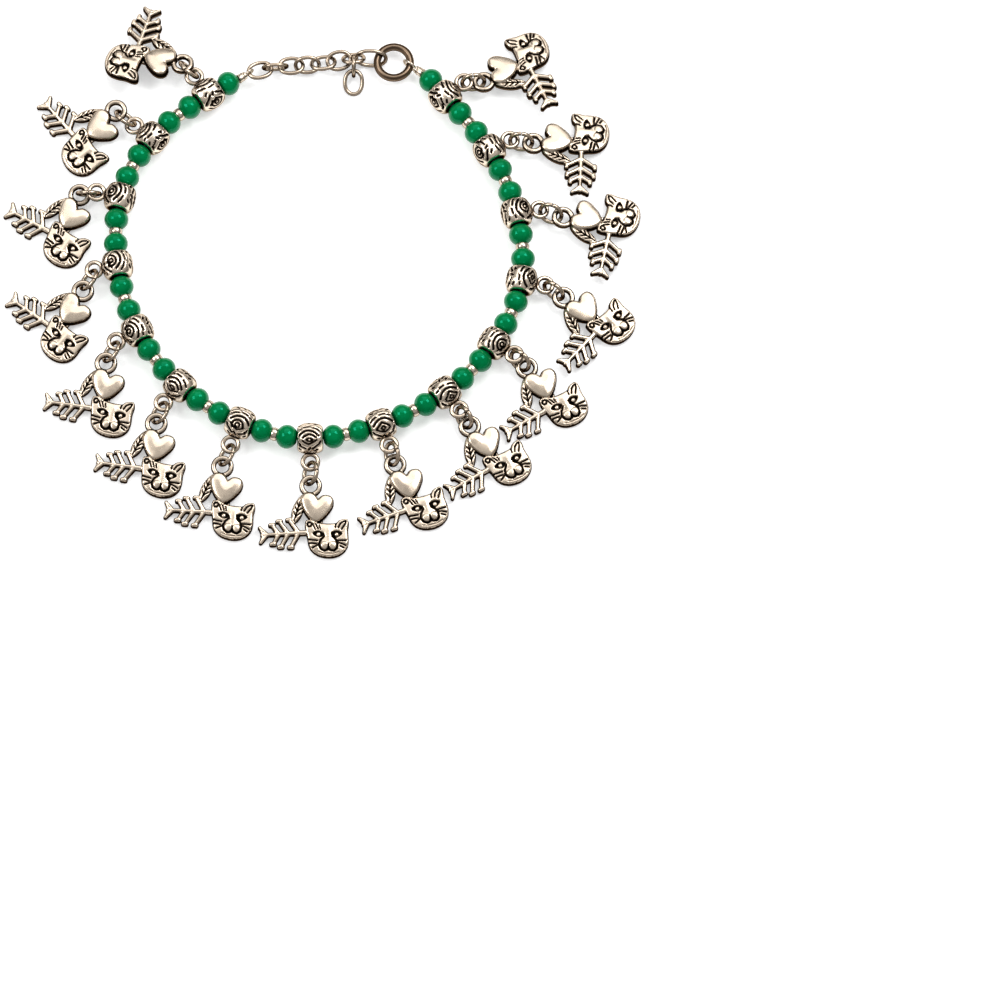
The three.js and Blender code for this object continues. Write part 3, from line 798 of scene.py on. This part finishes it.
heart_points = [
    (-0.5, -1.66), (-1.36, -1.96), (-1.92, -2.9), (-1.78, -4.25), (-1.07, -5.9),
    (-0.1, -7.1), (1.15, -7.75), (2.6, -7.0), (3.67, -5.75), (4.42, -4.55),
    (4.62, -3.36), (4.2, -2.5), (3.38, -2.18), (2.38, -2.3), (1.55, -3.0),
    (1.48, -2.98), (0.87, -2.16), (0.22, -1.74),
]
cat_points = [
    (-0.93, -7.54), (-0.21, -7.31), (0.51, -7.54), (1.37, -7.98), (3.38, -8.13),
    (5.15, -8.0), (5.83, -7.42), (6.9, -7.08), (7.6, -7.2), (7.85, -8.13),
    (7.7, -9.63), (7.84, -11.5), (7.6, -13.0), (6.8, -14.15), (5.5, -14.95),
    (3.82, -15.24), (1.95, -14.95), (0.55, -14.1), (-0.25, -12.9), (-0.62, -11.27),
    (-0.98, -9.63), (-1.1, -8.43),
]
left_eye = [(0.43, -10.2), (1.66, -9.68), (2.95, -10.45), (1.95, -11.2), (0.9, -10.85)]
right_eye = [(4.25, -10.1), (5.4, -9.66), (6.62, -10.25), (5.4, -11.27), (4.5, -10.9)]
eye_balls = [(1.68, -10.5), (5.4, -10.52)]
muzzle_line = [
    (2.81, -10.9), (2.09, -11.72), (1.73, -12.61), (2.09, -13.51), (2.81, -14.0),
    (3.46, -13.81), (3.74, -13.36), (4.03, -13.81), (4.82, -14.0), (5.47, -13.43),
    (5.61, -12.31), (5.25, -11.57), (4.54, -10.9),
]
muzzle_lobes = [(2.9, -12.88), (4.64, -12.88)]
# Carved lines of the face: half width in millimetres, then the line's points.
face_lines = [
    (0.17, [(-0.43, -11.61), (1.44, -11.82)]),
    (0.17, [(-0.21, -12.34), (1.23, -12.49)]),
    (0.16, [(0.44, -13.36), (1.44, -12.79)]),
    (0.17, [(5.69, -11.82), (7.34, -11.72)]),
    (0.17, [(5.83, -12.16), (7.27, -12.79)]),
    (0.16, [(6.12, -12.91), (6.91, -13.33)]),
    (0.16, [(1.08, -8.28), (1.59, -9.33)]),
    (0.14, [(1.87, -8.58), (2.06, -9.4)]),
    (0.14, [(5.23, -8.13), (5.11, -9.0)]),
    (0.16, [(1.01, -9.4), (0.58, -8.43), (0.08, -7.98), (-0.43, -7.98), (-0.64, -8.43)]),
    (0.15, [(-0.64, -8.43), (-0.43, -8.88), (0.08, -8.85), (0.22, -8.51)]),
    (0.14, [(5.72, -9.06), (6.12, -8.21), (6.84, -7.69), (7.3, -7.66)]),
    (0.14, [(7.3, -7.66), (7.13, -8.28), (6.41, -9.4)]),
    (0.14, [(3.74, -12.54), (3.74, -13.36)]),
]
chin_line = [(1.7, -14.2), (2.8, -14.5), (3.82, -14.58), (4.9, -14.5), (5.95, -14.2)]

leaf_place, leaf_turn, leaf_length, leaf_width = (-2.55, -5.0), -16, 6.5, 2.3
bone_place, bone_turn, bone_length, bone_radius = (-5.3, -10.3), 4, 9.8, 0.6
# The fishbone's ribs, as shares of its length: place on the spine and reach to either side.
ribs = [(0.2, 0.3), (0.42, 0.28), (0.62, 0.21)]
rib_sweep = 32
fin_at, fin_reach = 0.86, 0.16


def closed_line(points, steps=8):
    """A smooth closed outline through the points."""
    return closed_curve(points, steps)


def crossings_odd(places, starts, ends):
    """Whether each place lies inside the closed lines that the edges make."""
    inside = np.zeros(len(places), bool)
    x, y = places[:, 0], places[:, 1]
    for (ax, ay), (bx, by) in zip(starts, ends):
        if ay != by:
            inside ^= ((ay > y) != (by > y)) & (x < (bx - ax) * (y - ay) / (by - ay) + ax)
    return inside


def outline_depth(places, line):
    """Depth inside a closed line: positive inside, negative outside."""
    away = stroke_distance(places, line)
    return np.where(crossings_odd(places, line[:-1], line[1:]), away, -away)


def local(places, place, turn):
    """Places in the axes of a piece that stands turned at place."""
    t = math.radians(turn)
    moved_places = places - np.array(place)
    return moved_places @ np.array([[math.cos(t), -math.sin(t)], [math.sin(t), math.cos(t)]])


def rounded_bar(places, a, b, radius_a, radius_b):
    """Depth inside a bar with round ends that may be of two sizes."""
    a, b = np.array(a, float), np.array(b, float)
    run = b - a
    share = np.clip((places - a) @ run / (run @ run), 0, 1)
    away = np.linalg.norm(places - a - share[:, None] * run, axis=1)
    return radius_a + (radius_b - radius_a) * share - away


def fishbone_depth(places):
    p = local(places, bone_place, bone_turn)

    def spot(share):
        return (0.5 - share) * bone_length

    depth = rounded_bar(p, (spot(-0.02), 0), (spot(0.97), 0), bone_radius, 0.42)
    sweep = math.tan(math.radians(rib_sweep))
    for at_share, reach_share in ribs:
        reach = reach_share * bone_length
        for side in (-1, 1):
            tip = (spot(at_share) - sweep * reach, side * reach)
            depth = np.maximum(depth, rounded_bar(p, (spot(at_share), 0), tip, 0.56, 0.48))
            a, b = ((tip[0] + foot, tip[1] - side * 0.03) for foot in (-0.32, 0.32))
            depth = np.maximum(depth, rounded_bar(p, a, b, 0.52, 0.52))
    for side in (-1, 1):
        tip = (spot(1) - 0.1, side * fin_reach * bone_length)
        depth = np.maximum(depth, rounded_bar(p, (spot(fin_at), 0), tip, 0.45, 0.42))
        depth = np.maximum(depth, rounded_bar(p, (spot(0.94), 0), tip, 0.45, 0.35))
    return depth


def leaf_depth(places):
    p = local(places, leaf_place, leaf_turn)
    share = np.clip(p[:, 1] / (leaf_length / 2), -1, 1)
    half_width = leaf_width / 2 * (1 - share**2) ** 0.75 * (1 - 0.18 * share) + 0.001
    side = half_width - np.abs(p[:, 0])
    end = leaf_length / 2 - np.abs(p[:, 1])
    return np.minimum(side * 0.8, end * 1.6)


def leaf_veins():
    """The leaf's middle rib and its side veins, as lines in the charm's own places."""
    lines = [((0, -2.75), (0, 2.45))]
    for start in (-1.7, -0.6, 0.5):
        for side in (-1, 1):
            lines.append(((0, start), (side * 0.72, start + 0.85)))
    t = math.radians(leaf_turn)
    turn = np.array([[math.cos(t), math.sin(t)], [-math.sin(t), math.cos(t)]])
    return [np.array(line) @ turn + np.array(leaf_place) for line in lines]


def dome(depth, rise, reach):
    """A rounded shoulder: rise at reach inside the edge, steep at the edge itself."""
    share = np.clip(depth / reach, 0, 1)
    return rise * np.sqrt(np.maximum(1 - (1 - share) ** 2, 0))


def casting_heights(places):
    """Depth inside the whole outline, height of the front, and oxide, at places in millimetres."""
    middle = np.hypot(places[:, 0], places[:, 1])
    outer, inner = loop_radius / mm, loop_hole_radius / mm
    loop = np.minimum(outer - middle, middle - inner)
    heart = outline_depth(places, closed_line(heart_points)) + 0.16
    cat = outline_depth(places, closed_line(cat_points)) + 0.05
    leaf = leaf_depth(places)
    bone = fishbone_depth(places)
    web = np.minimum.reduce([cat + 1.0, heart + 1.1, 0.55 - np.abs(places[:, 0] - 1.2) * 0.4])
    depth = np.maximum.reduce([loop, heart, cat, leaf, bone, web])

    low = np.full(len(places), -9.0)
    heights = [
        np.where(loop > 0, 0.55 + dome(loop, 0.45, 0.49), low),
        np.where(heart > 0, 0.95 + dome(heart, 0.62, 0.55) + dome(heart, 0.55, 2.9), low),
        np.where(cat > 0, 0.95 + dome(cat, 0.62, 0.5) + dome(cat, 0.14, 3.0), low),
        np.where(leaf > 0, 0.7 + dome(leaf, 0.7, 0.75), low),
        np.where(bone > 0, 0.7 + dome(bone, 0.72, 0.5), low),
        np.where(web > 0, 0.5, low),
    ]
    top = np.maximum.reduce(heights)

    for x, y in muzzle_lobes:
        away = np.hypot(places[:, 0] - x, places[:, 1] - y)
        top += 0.3 * np.sqrt(np.maximum(1 - (away / lobe_radius) ** 2, 0)) * (cat > 0)
    bridge = stroke_distance(places, [(3.66, -9.3), (3.72, -12.2)])
    top += 0.14 * (1 - smoothstep(0.0, 1.1, bridge)) * (cat > 0)
    cut = 0.27 * (loop > 0) * (heart < 0)
    for eye, ball in zip((left_eye, right_eye), eye_balls):
        inside = outline_depth(places, closed_line(eye))
        away = np.hypot(places[:, 0] - ball[0], places[:, 1] - ball[1])
        socket = smoothstep(-0.05, 0.22, inside)
        ball_rise = np.sqrt(np.maximum(1 - (away / eyeball_radius) ** 2, 0))
        top += -0.5 * socket + 0.5 * ball_rise
        cut = np.maximum(cut, socket * smoothstep(0.36, 0.48, away))
    for half_width, line in face_lines + [(0.2, muzzle_line)]:
        away = stroke_distance(places, line)
        groove = 1 - smoothstep(half_width * 0.65, half_width * 1.45, away)
        top -= groove_depth * groove
        cut = np.maximum(cut, groove)
    for line in leaf_veins():
        groove = 1 - smoothstep(0.08, 0.22, stroke_distance(places, line))
        groove *= smoothstep(0.08, 0.3, leaf) * (heart < -0.05)
        top -= 0.2 * groove
        cut = np.maximum(cut, 0.9 * groove)
    rim = 1 - smoothstep(0.06, 0.2, stroke_distance(places, chin_line))
    top -= 0.1 * rim
    cut = np.maximum(cut, 0.55 * rim)
    return depth, np.maximum(top, 0.42), cut


def blurred(values, passes):
    """A grid of values, blurred a little by each pass."""
    for _ in range(passes):
        values = (
            np.roll(values, 1, 0) + np.roll(values, -1, 0) + np.roll(values, 1, 1)
            + np.roll(values, -1, 1) + 2 * values
        ) / 6
    return values


def charm_front():
    """The front as a net of square faces cut at the outline, and the edges along its rim."""
    step = casting_step
    x = np.arange(-11.4, 8.5, step)
    y = np.arange(-15.9, 2.8, step)
    gx, gy = np.meshgrid(x, y, indexing="ij")
    grid = np.stack([gx.ravel(), gy.ravel()], axis=1)
    depth, top, cut = (v.reshape(gx.shape) for v in casting_heights(grid))
    filled = np.where(depth > 0, top, 0.55)
    hollow = blurred(filled, 5) - filled
    steep = np.hypot(*np.gradient(np.where(depth > 0, top, 0.3), step))
    # Oxide in the cut lines and hollows, and painted shade on steep slopes.
    oxide_and_shade_grid = np.maximum.reduce(
        [cut, smoothstep(0.05, 0.24, hollow), 0.8 * smoothstep(0.9, 2.6, steep)]
    )

    index, points, numbers = {}, [], []

    def grid_point(i, j):
        key = (i, j)
        if key not in index:
            index[key] = len(points)
            points.append((x[i], y[j], top[i, j]))
            numbers.append(oxide_and_shade_grid[i, j])
        return index[key]

    def edge_point(i, j, k, l):
        key = (min((i, j), (k, l)), max((i, j), (k, l)))
        if key not in index:
            a, b = depth[i, j], depth[k, l]
            t = min(max(a / (a - b), 0.02), 0.98)
            index[key] = len(points)
            points.append((x[i] + t * (x[k] - x[i]), y[j] + t * (y[l] - y[j]), -1.0))
            inner = (i, j) if a > 0 else (k, l)
            # The wall's top edge is dark with oxide and painted shade.
            numbers.append(max(0.9, oxide_and_shade_grid[inner]))
        return index[key]

    faces, rim_edges = [], []
    for i in range(len(x) - 1):
        for j in range(len(y) - 1):
            corners = [(i, j), (i + 1, j), (i + 1, j + 1), (i, j + 1)]
            signs = [depth[c] > 0 for c in corners]
            if not any(signs):
                continue
            face = []
            crossing = []
            for k in range(4):
                here, there = corners[k], corners[(k + 1) % 4]
                if signs[k]:
                    face.append(grid_point(*here))
                if signs[k] != signs[(k + 1) % 4]:
                    spot = edge_point(*here, *there)
                    face.append(spot)
                    crossing.append((spot, signs[k]))
            if len(crossing) == 4:
                faces.append(tuple(face))
                order = [spot for spot, _ in crossing]
                for k, (spot, leaving) in enumerate(crossing):
                    if leaving:
                        rim_edges.append((spot, order[(k + 1) % 4]))
                continue
            faces.append(tuple(face))
            if crossing:
                crossing.sort(key=lambda c: not c[1])
                rim_edges.append((crossing[0][0], crossing[1][0]))
    return np.array(points), np.array(numbers), faces, rim_edges


def charm_casting():
    """Points in metres, faces, and oxide with painted shade, of a charm: its back at z 0, its
    loop's hole at (0, 0).
    """
    points, numbers, faces, rim_edges = charm_front()
    rim = sorted({p for edge in rim_edges for p in edge})
    seen = {p: k for k, p in enumerate(rim)}
    # The wall's top edge stands a little below the front.
    points[rim, 2] = edge_height
    base = len(points)
    for height, dark in wall_rows[1:]:
        ring = points[rim].copy()
        ring[:, 2] = height
        points = np.vstack([points, ring])
        numbers = np.concatenate([numbers, np.full(len(rim), dark)])

    def level(row, p):
        return p if row == 0 else base + (row - 1) * len(rim) + seen[p]

    for a, b in rim_edges:
        for row in range(len(wall_rows) - 1):
            faces.append((level(row, b), level(row, a), level(row + 1, a), level(row + 1, b)))
    flat = [Vector(points[p][:2]) for p in rim]
    links = [(seen[a], seen[b]) for a, b in rim_edges]
    found = delaunay_2d_cdt(flat, links, [], 1, 1e-6)
    last = len(wall_rows) - 1
    source = [orig[0] if orig else -1 for orig in found[3]]
    patches = np.array([[source[k] for k in patch] for patch in found[2]])
    spots = np.array(flat)
    ends = spots[np.array(links)]
    inside = crossings_odd(spots[patches].mean(axis=1), ends[:, 0], ends[:, 1])
    for patch in patches[inside]:
        a, b, c = (flat[k] for k in patch)
        order = reversed(patch) if (b - a).cross(c - b) > 0 else patch
        faces.append(tuple(level(last, rim[k]) for k in order))
    return points * mm, faces, numbers


casting_points, casting_faces, casting_oxide_and_shade = charm_casting()
floor_gap = 0.02 * mm


def lay_charm(pose, stand, bail):
    """The charm's frame on the table: turned about its loop, its low side at height 0."""
    _, swing, reach, _, heading, pitch, roll = pose
    outward = stand.to_3x3() @ Vector((1, 0, 0))
    normal = math.atan2(outward.y, outward.x)
    swung = normal + math.radians(swing)
    spot = bail.to_translation()
    x, y = spot.x + reach * mm * math.cos(swung), spot.y + reach * mm * math.sin(swung)
    turn = Matrix.Rotation(normal + math.radians(heading) + math.pi / 2, 4, "Z")
    turn = turn @ Matrix.Rotation(math.radians(pitch), 4, "X")
    turn = turn @ Matrix.Rotation(math.radians(roll), 4, "Y")
    low = placed(casting_points, turn)[:, 2].min()
    return Matrix.Translation((x, y, floor_gap - low)) @ turn


charm_frames = []
for i, pose in enumerate(charm_poses):
    lay = lay_charm(pose, moved @ frame_at(barrel_places[i]), bail_frames[i])
    charm_frames.append(lay)
    name = "charm_%02d" % (i + 1)
    charm = mesh_object(
        "cast_" + name, placed(casting_points, lay), casting_faces, {"oxide_and_shade": casting_oxide_and_shade}
    )
    charm.data.materials.append(antique)
    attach(charm, "root")
    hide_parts(name)

# The jump rings: round drawn wire, plated, each bent shut with a fine slit. One passes through
# every bail and the loop of the charm that hangs from it.
jump_radius = 2.28 * mm
jump_wire = 0.88 * mm
bail_wire_radius, loop_wire_radius = 1.525 * mm, 1.75 * mm
extra_lean = 14
# The jump rings' copy of the plating is darker, as painted shade.
drawn_and_shaded = silver("drawn_and_shaded_silver", (0.6, 0.485, 0.375), 0.22, 0.02)


def jump_frame(bail, charm, lean):
    """The ring stands across the far side of the bail and the near side of the charm's loop."""
    bail_middle = np.array(bail.to_translation())
    eye_middle = np.array(charm @ Vector((0, 0, loop_thickness / 2)))
    gap = eye_middle - bail_middle
    along = unit((gap[0], gap[1], 0))

    def wire_towards(middle, axis, radius, direction):
        return middle + radius * unit(direction - axis * np.dot(direction, axis))

    bail_axis = np.array(bail.to_3x3() @ Vector((0, 0, 1)))
    eye_axis = np.array(charm.to_3x3() @ Vector((0, 0, 1)))
    near = wire_towards(bail_middle, bail_axis, bail_wire_radius, along)
    far = wire_towards(eye_middle, eye_axis, loop_wire_radius, -along)
    middle = (near + far) / 2
    side = np.cross(up, along)
    tip = math.radians(lean + extra_lean)
    raised = math.cos(tip) * up + math.sin(tip) * side
    return matrix_of(along, raised, np.cross(along, raised), middle)


ring_frames = []
for i, pose in enumerate(charm_poses):
    stand = jump_frame(bail_frames[i], charm_frames[i], pose[3])
    raised = math.cos(math.radians(pose[3] + extra_lean))
    low = stand.to_translation().z - jump_radius * raised - jump_wire / 2
    ring_frames.append(Matrix.Translation((0, 0, max(0.0, floor_gap - low))) @ stand)
ring_model = mesh_object("jump_ring_model", *wire_ring(jump_radius, jump_wire, 56, 14, 0.05))
jump_rings = strung("jump_rings", ring_model, ring_frames, drawn_and_shaded, "Ring size")
# Painted shade down the rings' sides.
keep_oxide_and_shade(jump_rings, painted_side_shade(jump_rings))
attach(jump_rings, "root")
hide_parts(*["jump_ring_%02d" % (i + 1) for i in range(barrel_count)])

# The chain: oval links of round plated wire, bent shut, hooked one through the next from the left
# crimp to the clasp ring, with a short tail of two links for letting the anklet out.
tail_link_length, tail_link_width = 4.6 * mm, 3.8 * mm
drawn_wire = 0.82 * mm
# The chain's copy of the plating is darker: aged plating with painted shade.
aged_and_shaded = silver("aged_and_shaded_silver", (0.56, 0.45, 0.345), 0.22, 0.02)
tail_heading, tail_slope, tail_offset = 6, 52, 0.15 * mm


def chain_link(length, width, wire):
    radius = (width - link_wire) / 2
    return wire_ring(radius, wire, 64, 12, stretch=(length - width) / 2)


link_frames = {}
for (name, length, width, roll), place in zip(chain_rows, link_places):
    stand = chord_frame(-place - length / 2, -place + length / 2, roll)
    link_frames[name] = moved @ stand

knot_place = link_places[[row[0] for row in chain_rows].index("knot_link")]
near_wire = link_frames["knot_link"] @ Vector((tail_offset, (link_width - link_wire) / 2, 0))
outward = (moved @ frame_at(-knot_place)).to_3x3() @ Vector((1, 0, 0))
heading = math.atan2(-outward.y, -outward.x) - math.radians(tail_heading)
turned_by = Matrix.Rotation(heading, 4, "Z")
contact = tail_link_length / 2 - 1.5 * link_wire - eye_clearance
tail = turned_by @ Matrix.Rotation(math.radians(tail_slope), 4, "Y")
tail_direction = (tail.to_3x3() @ Vector((1, 0, 0))).normalized()
tail_place = near_wire + tail_direction * contact
tail = Matrix.Translation(tail_place) @ tail @ Matrix.Rotation(math.pi / 2, 4, "X")
end_wire = tail_place + tail_direction * contact
span = link_length - link_wire
end = turned_by @ Matrix.Rotation(math.asin((end_wire.z - drawn_wire / 2) / span), 4, "Y")
end_direction = (end.to_3x3() @ Vector((1, 0, 0))).normalized()
end = Matrix.Translation(end_wire + end_direction * span / 2) @ end

even_links = [row[0] for row in chain_rows if row[0].startswith("chain_link")]
link_model = mesh_object("link_model", *chain_link(link_length, link_width, drawn_wire))
places = [link_frames[name] for name in even_links] + [end]
chain = strung("chain", link_model, places, aged_and_shaded, "Link size")
# Painted shade down the links' sides.
keep_oxide_and_shade(chain, painted_side_shade(chain))
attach(chain, "root")
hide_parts(*even_links, "end_link")

odd_links = [(row[1], row[2], link_frames[row[0]]) for row in chain_rows[-2:]]
odd_links.append((tail_link_length, tail_link_width, tail))
parts = []
for length, width, stand in odd_links:
    points, faces = chain_link(length, width, drawn_wire)
    parts.append((placed(points, stand), faces, np.zeros(len(points))))
points, faces, _ = joined(parts)
hooked = mesh_object("knot_hook_and_tail", points, faces)
hooked.data.materials.append(aged_and_shaded)
# Painted shade down the links' sides.
keep_oxide_and_shade(hooked, painted_side_shade(hooked))
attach(hooked, "root")
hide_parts("knot_link", "hook_link", "tail_link")

# The crimps: short plated tubes squeezed over the thread's ends, each holding a small wire eye
# that catches the chain at the left and the clasp ring at the right.
crimp_diameter = 2.3 * mm


def crimp_tube(length):
    """A short tube with rolled rims, narrower towards its eye."""
    rows = []
    for share in np.linspace(0, 1, 19):
        rim = 0.07 * math.exp(-((min(share, abs(share - 0.62), 1 - share) / 0.07) ** 2))
        rows.append((crimp_diameter / 2 * (0.8 - 0.16 * share**2 + rim), share * length))
    points, faces = turned([(0.45 * mm, 0.1 * mm)] + rows + [(0.3 * mm, length)], 36)
    share = points[:, 1] / length
    oxide_and_shade = 0.45 * np.exp(-(((share - 0.52) / 0.05) ** 2)) + 0.4 * smoothstep(0.95, 1.0, share)
    return points, faces, oxide_and_shade


crimp_frames = [(0.0, -1, left_eye_hole), (string_length, 1, right_eye_hole)]
for name, (start, way, eye_hole) in zip(("crimp_left", "crimp_right"), crimp_frames):
    reach = crimp_length + (eye_hole + eye_wire) / 2
    stand = chord_frame(start, start + way * reach, 0)
    stand = stand @ Matrix.Rotation(-math.pi / 2, 4, "Z")
    stand.translation = Vector(route_at(start))
    stand = moved @ stand
    points, faces, oxide_and_shade = crimp_tube(crimp_length)
    parts = [(placed(points, stand), faces, oxide_and_shade)]
    eye = stand @ Matrix.Translation((0, reach, 0)) @ Matrix.Rotation(math.pi / 2, 4, "Y")
    points, faces = wire_ring((eye_hole + eye_wire) / 2, eye_wire, 40, 10)
    parts.append((placed(points, eye), faces, np.full(len(points), 0.12)))
    points, faces, oxide_and_shade = joined(parts)
    crimp = mesh_object("plated_" + name, points, faces, {"oxide_and_shade": oxide_and_shade})
    crimp.data.materials.append(polished)
    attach(crimp, "root")
    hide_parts(name)

# The clasp ring: a thick turned ring of darker bronze, with fine grooves round it that catch the
# light in bands. The chain's last link and the right-hand eye are hooked into it.
band_count = 3
band_depth = 0.05 * mm


def banded_ring():
    sides, around = 40, 96
    middle = (clasp_hole + clasp_section) / 2
    section, dark = [], []
    for k in range(sides):
        angle = 2 * math.pi * k / sides
        band = 0.5 - 0.5 * math.cos(2 * band_count * angle)
        radius = clasp_section / 2 - band_depth * (1 - band)
        section.append((middle + radius * math.cos(angle), radius * math.sin(angle)))
        dark.append(0.3 + 0.4 * (1 - band) ** 2)
    points, faces = turned(section, around, closed=True)
    points = points[:, [0, 2, 1]]
    faces = [tuple(reversed(face)) for face in faces]
    return points, faces, np.repeat(dark, around)


bronze = silver("dark_bronze", (0.34, 0.25, 0.175), 0.28, 0.03)
points, faces, oxide_and_shade = banded_ring()
points = placed(points, moved @ clasp_frame)
ring = mesh_object("bronze_clasp_ring", points, faces, {"oxide_and_shade": oxide_and_shade})
ring.data.materials.append(bronze)
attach(ring, "root")
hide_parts("clasp_ring")

# The table: a white sheet under soft studio lamps, one beyond the anklet and one to each side.
# The camera looks down steeply, as the photograph does, and keeps its framing.
camera_elevation = 69
picture_width = 205.0 * mm
picture_middle = Vector((37.1, -53.1, 0)) * mm + Vector((shift.x, shift.y, 0))
camera_distance = 0.9


sheet_grey, sheet_white = (0.79, 0.79, 0.79, 1), (0.81, 0.81, 0.81, 1)


def white_sheet():
    material, tree, shader = new_material("white_sheet")
    fleck = noise(tree, 900.0, 2.0)
    paper = mix_colour(tree, fleck.smooth(-1.0, 1.0), sheet_grey, sheet_white)
    feed(tree, shader, Base_Color=paper, Roughness=0.85)
    shader.inputs["Specular IOR Level"].default_value = 0.2
    shader.inputs["Emission Color"].default_value = (1, 1, 1, 1)
    shader.inputs["Emission Strength"].default_value = 0.44
    return material


half_sheet = 1.6
corners = [(x * half_sheet, y * half_sheet, 0) for x, y in ((-1, -1), (1, -1), (1, 1), (-1, 1))]
floor = mesh_object("table", corners, [(0, 1, 2, 3)], smooth=False)
floor.data.materials.append(white_sheet())

elevation = math.radians(camera_elevation)
view_axis = Vector((0, -math.cos(elevation), math.sin(elevation)))
across = Vector((1, 0, 0))
over = view_axis.cross(across).normalized()


def lamp(name, direction, size, power, distance=0.75):
    light = bpy.data.lights.new(name, "AREA")
    light.shape = "SQUARE"
    light.size = size
    light.energy = power
    made = bpy.data.objects.new(name, light)
    direction = direction.normalized()
    made.location = direction * distance
    made.rotation_mode = "QUATERNION"
    made.rotation_quaternion = direction.to_track_quat("Z", "Y")
    bpy.context.scene.collection.objects.link(made)


def off_axis(degrees_off, towards):
    t = math.radians(degrees_off)
    return view_axis * math.cos(t) + towards * math.sin(t)


lamp("lamp_left", off_axis(45, (0.4 * over - across).normalized()), 0.32, 2.2)
lamp("lamp_right", off_axis(46, (over + 0.8 * across).normalized()), 0.32, 2.4)
lamp("lamp_beyond", off_axis(55, over), 0.7, 2.3)

# The studio round the table: dim at the horizon, lighter overhead and white below the table.
dim_wall, pale_ceiling, white_below = (0.14, 0.132, 0.124, 1), (0.5, 0.5, 0.5, 1), (1, 1, 1, 1)
world = bpy.data.worlds.new("studio")
bpy.context.scene.world = world
world.use_nodes = True
room = world.node_tree
background = room.nodes["Background"]
direction = node(room, "ShaderNodeTexCoord", {}, [], "Generated")
height = node(room, "ShaderNodeSeparateXYZ", {}, [direction], "Z")
sky = mix_colour(room, height.smooth(0.1, 0.75), dim_wall, pale_ceiling)
backdrop = mix_colour(room, height.smooth(-0.02, 0.0), white_below, sky)
room.links.new(backdrop.socket, background.inputs["Color"])

camera_data = bpy.data.cameras.new("camera")
camera_data.type = "ORTHO"
camera_data.ortho_scale = picture_width
camera_data.clip_start = 0.01
camera_data.clip_end = 10.0
camera = bpy.data.objects.new("camera", camera_data)
camera.location = picture_middle + view_axis * camera_distance
camera.rotation_mode = "QUATERNION"
camera.rotation_quaternion = view_axis.to_track_quat("Z", "Y")
bpy.context.scene.collection.objects.link(camera)
bpy.context.scene.camera = camera
bpy.context.scene.view_settings.view_transform = "Standard"
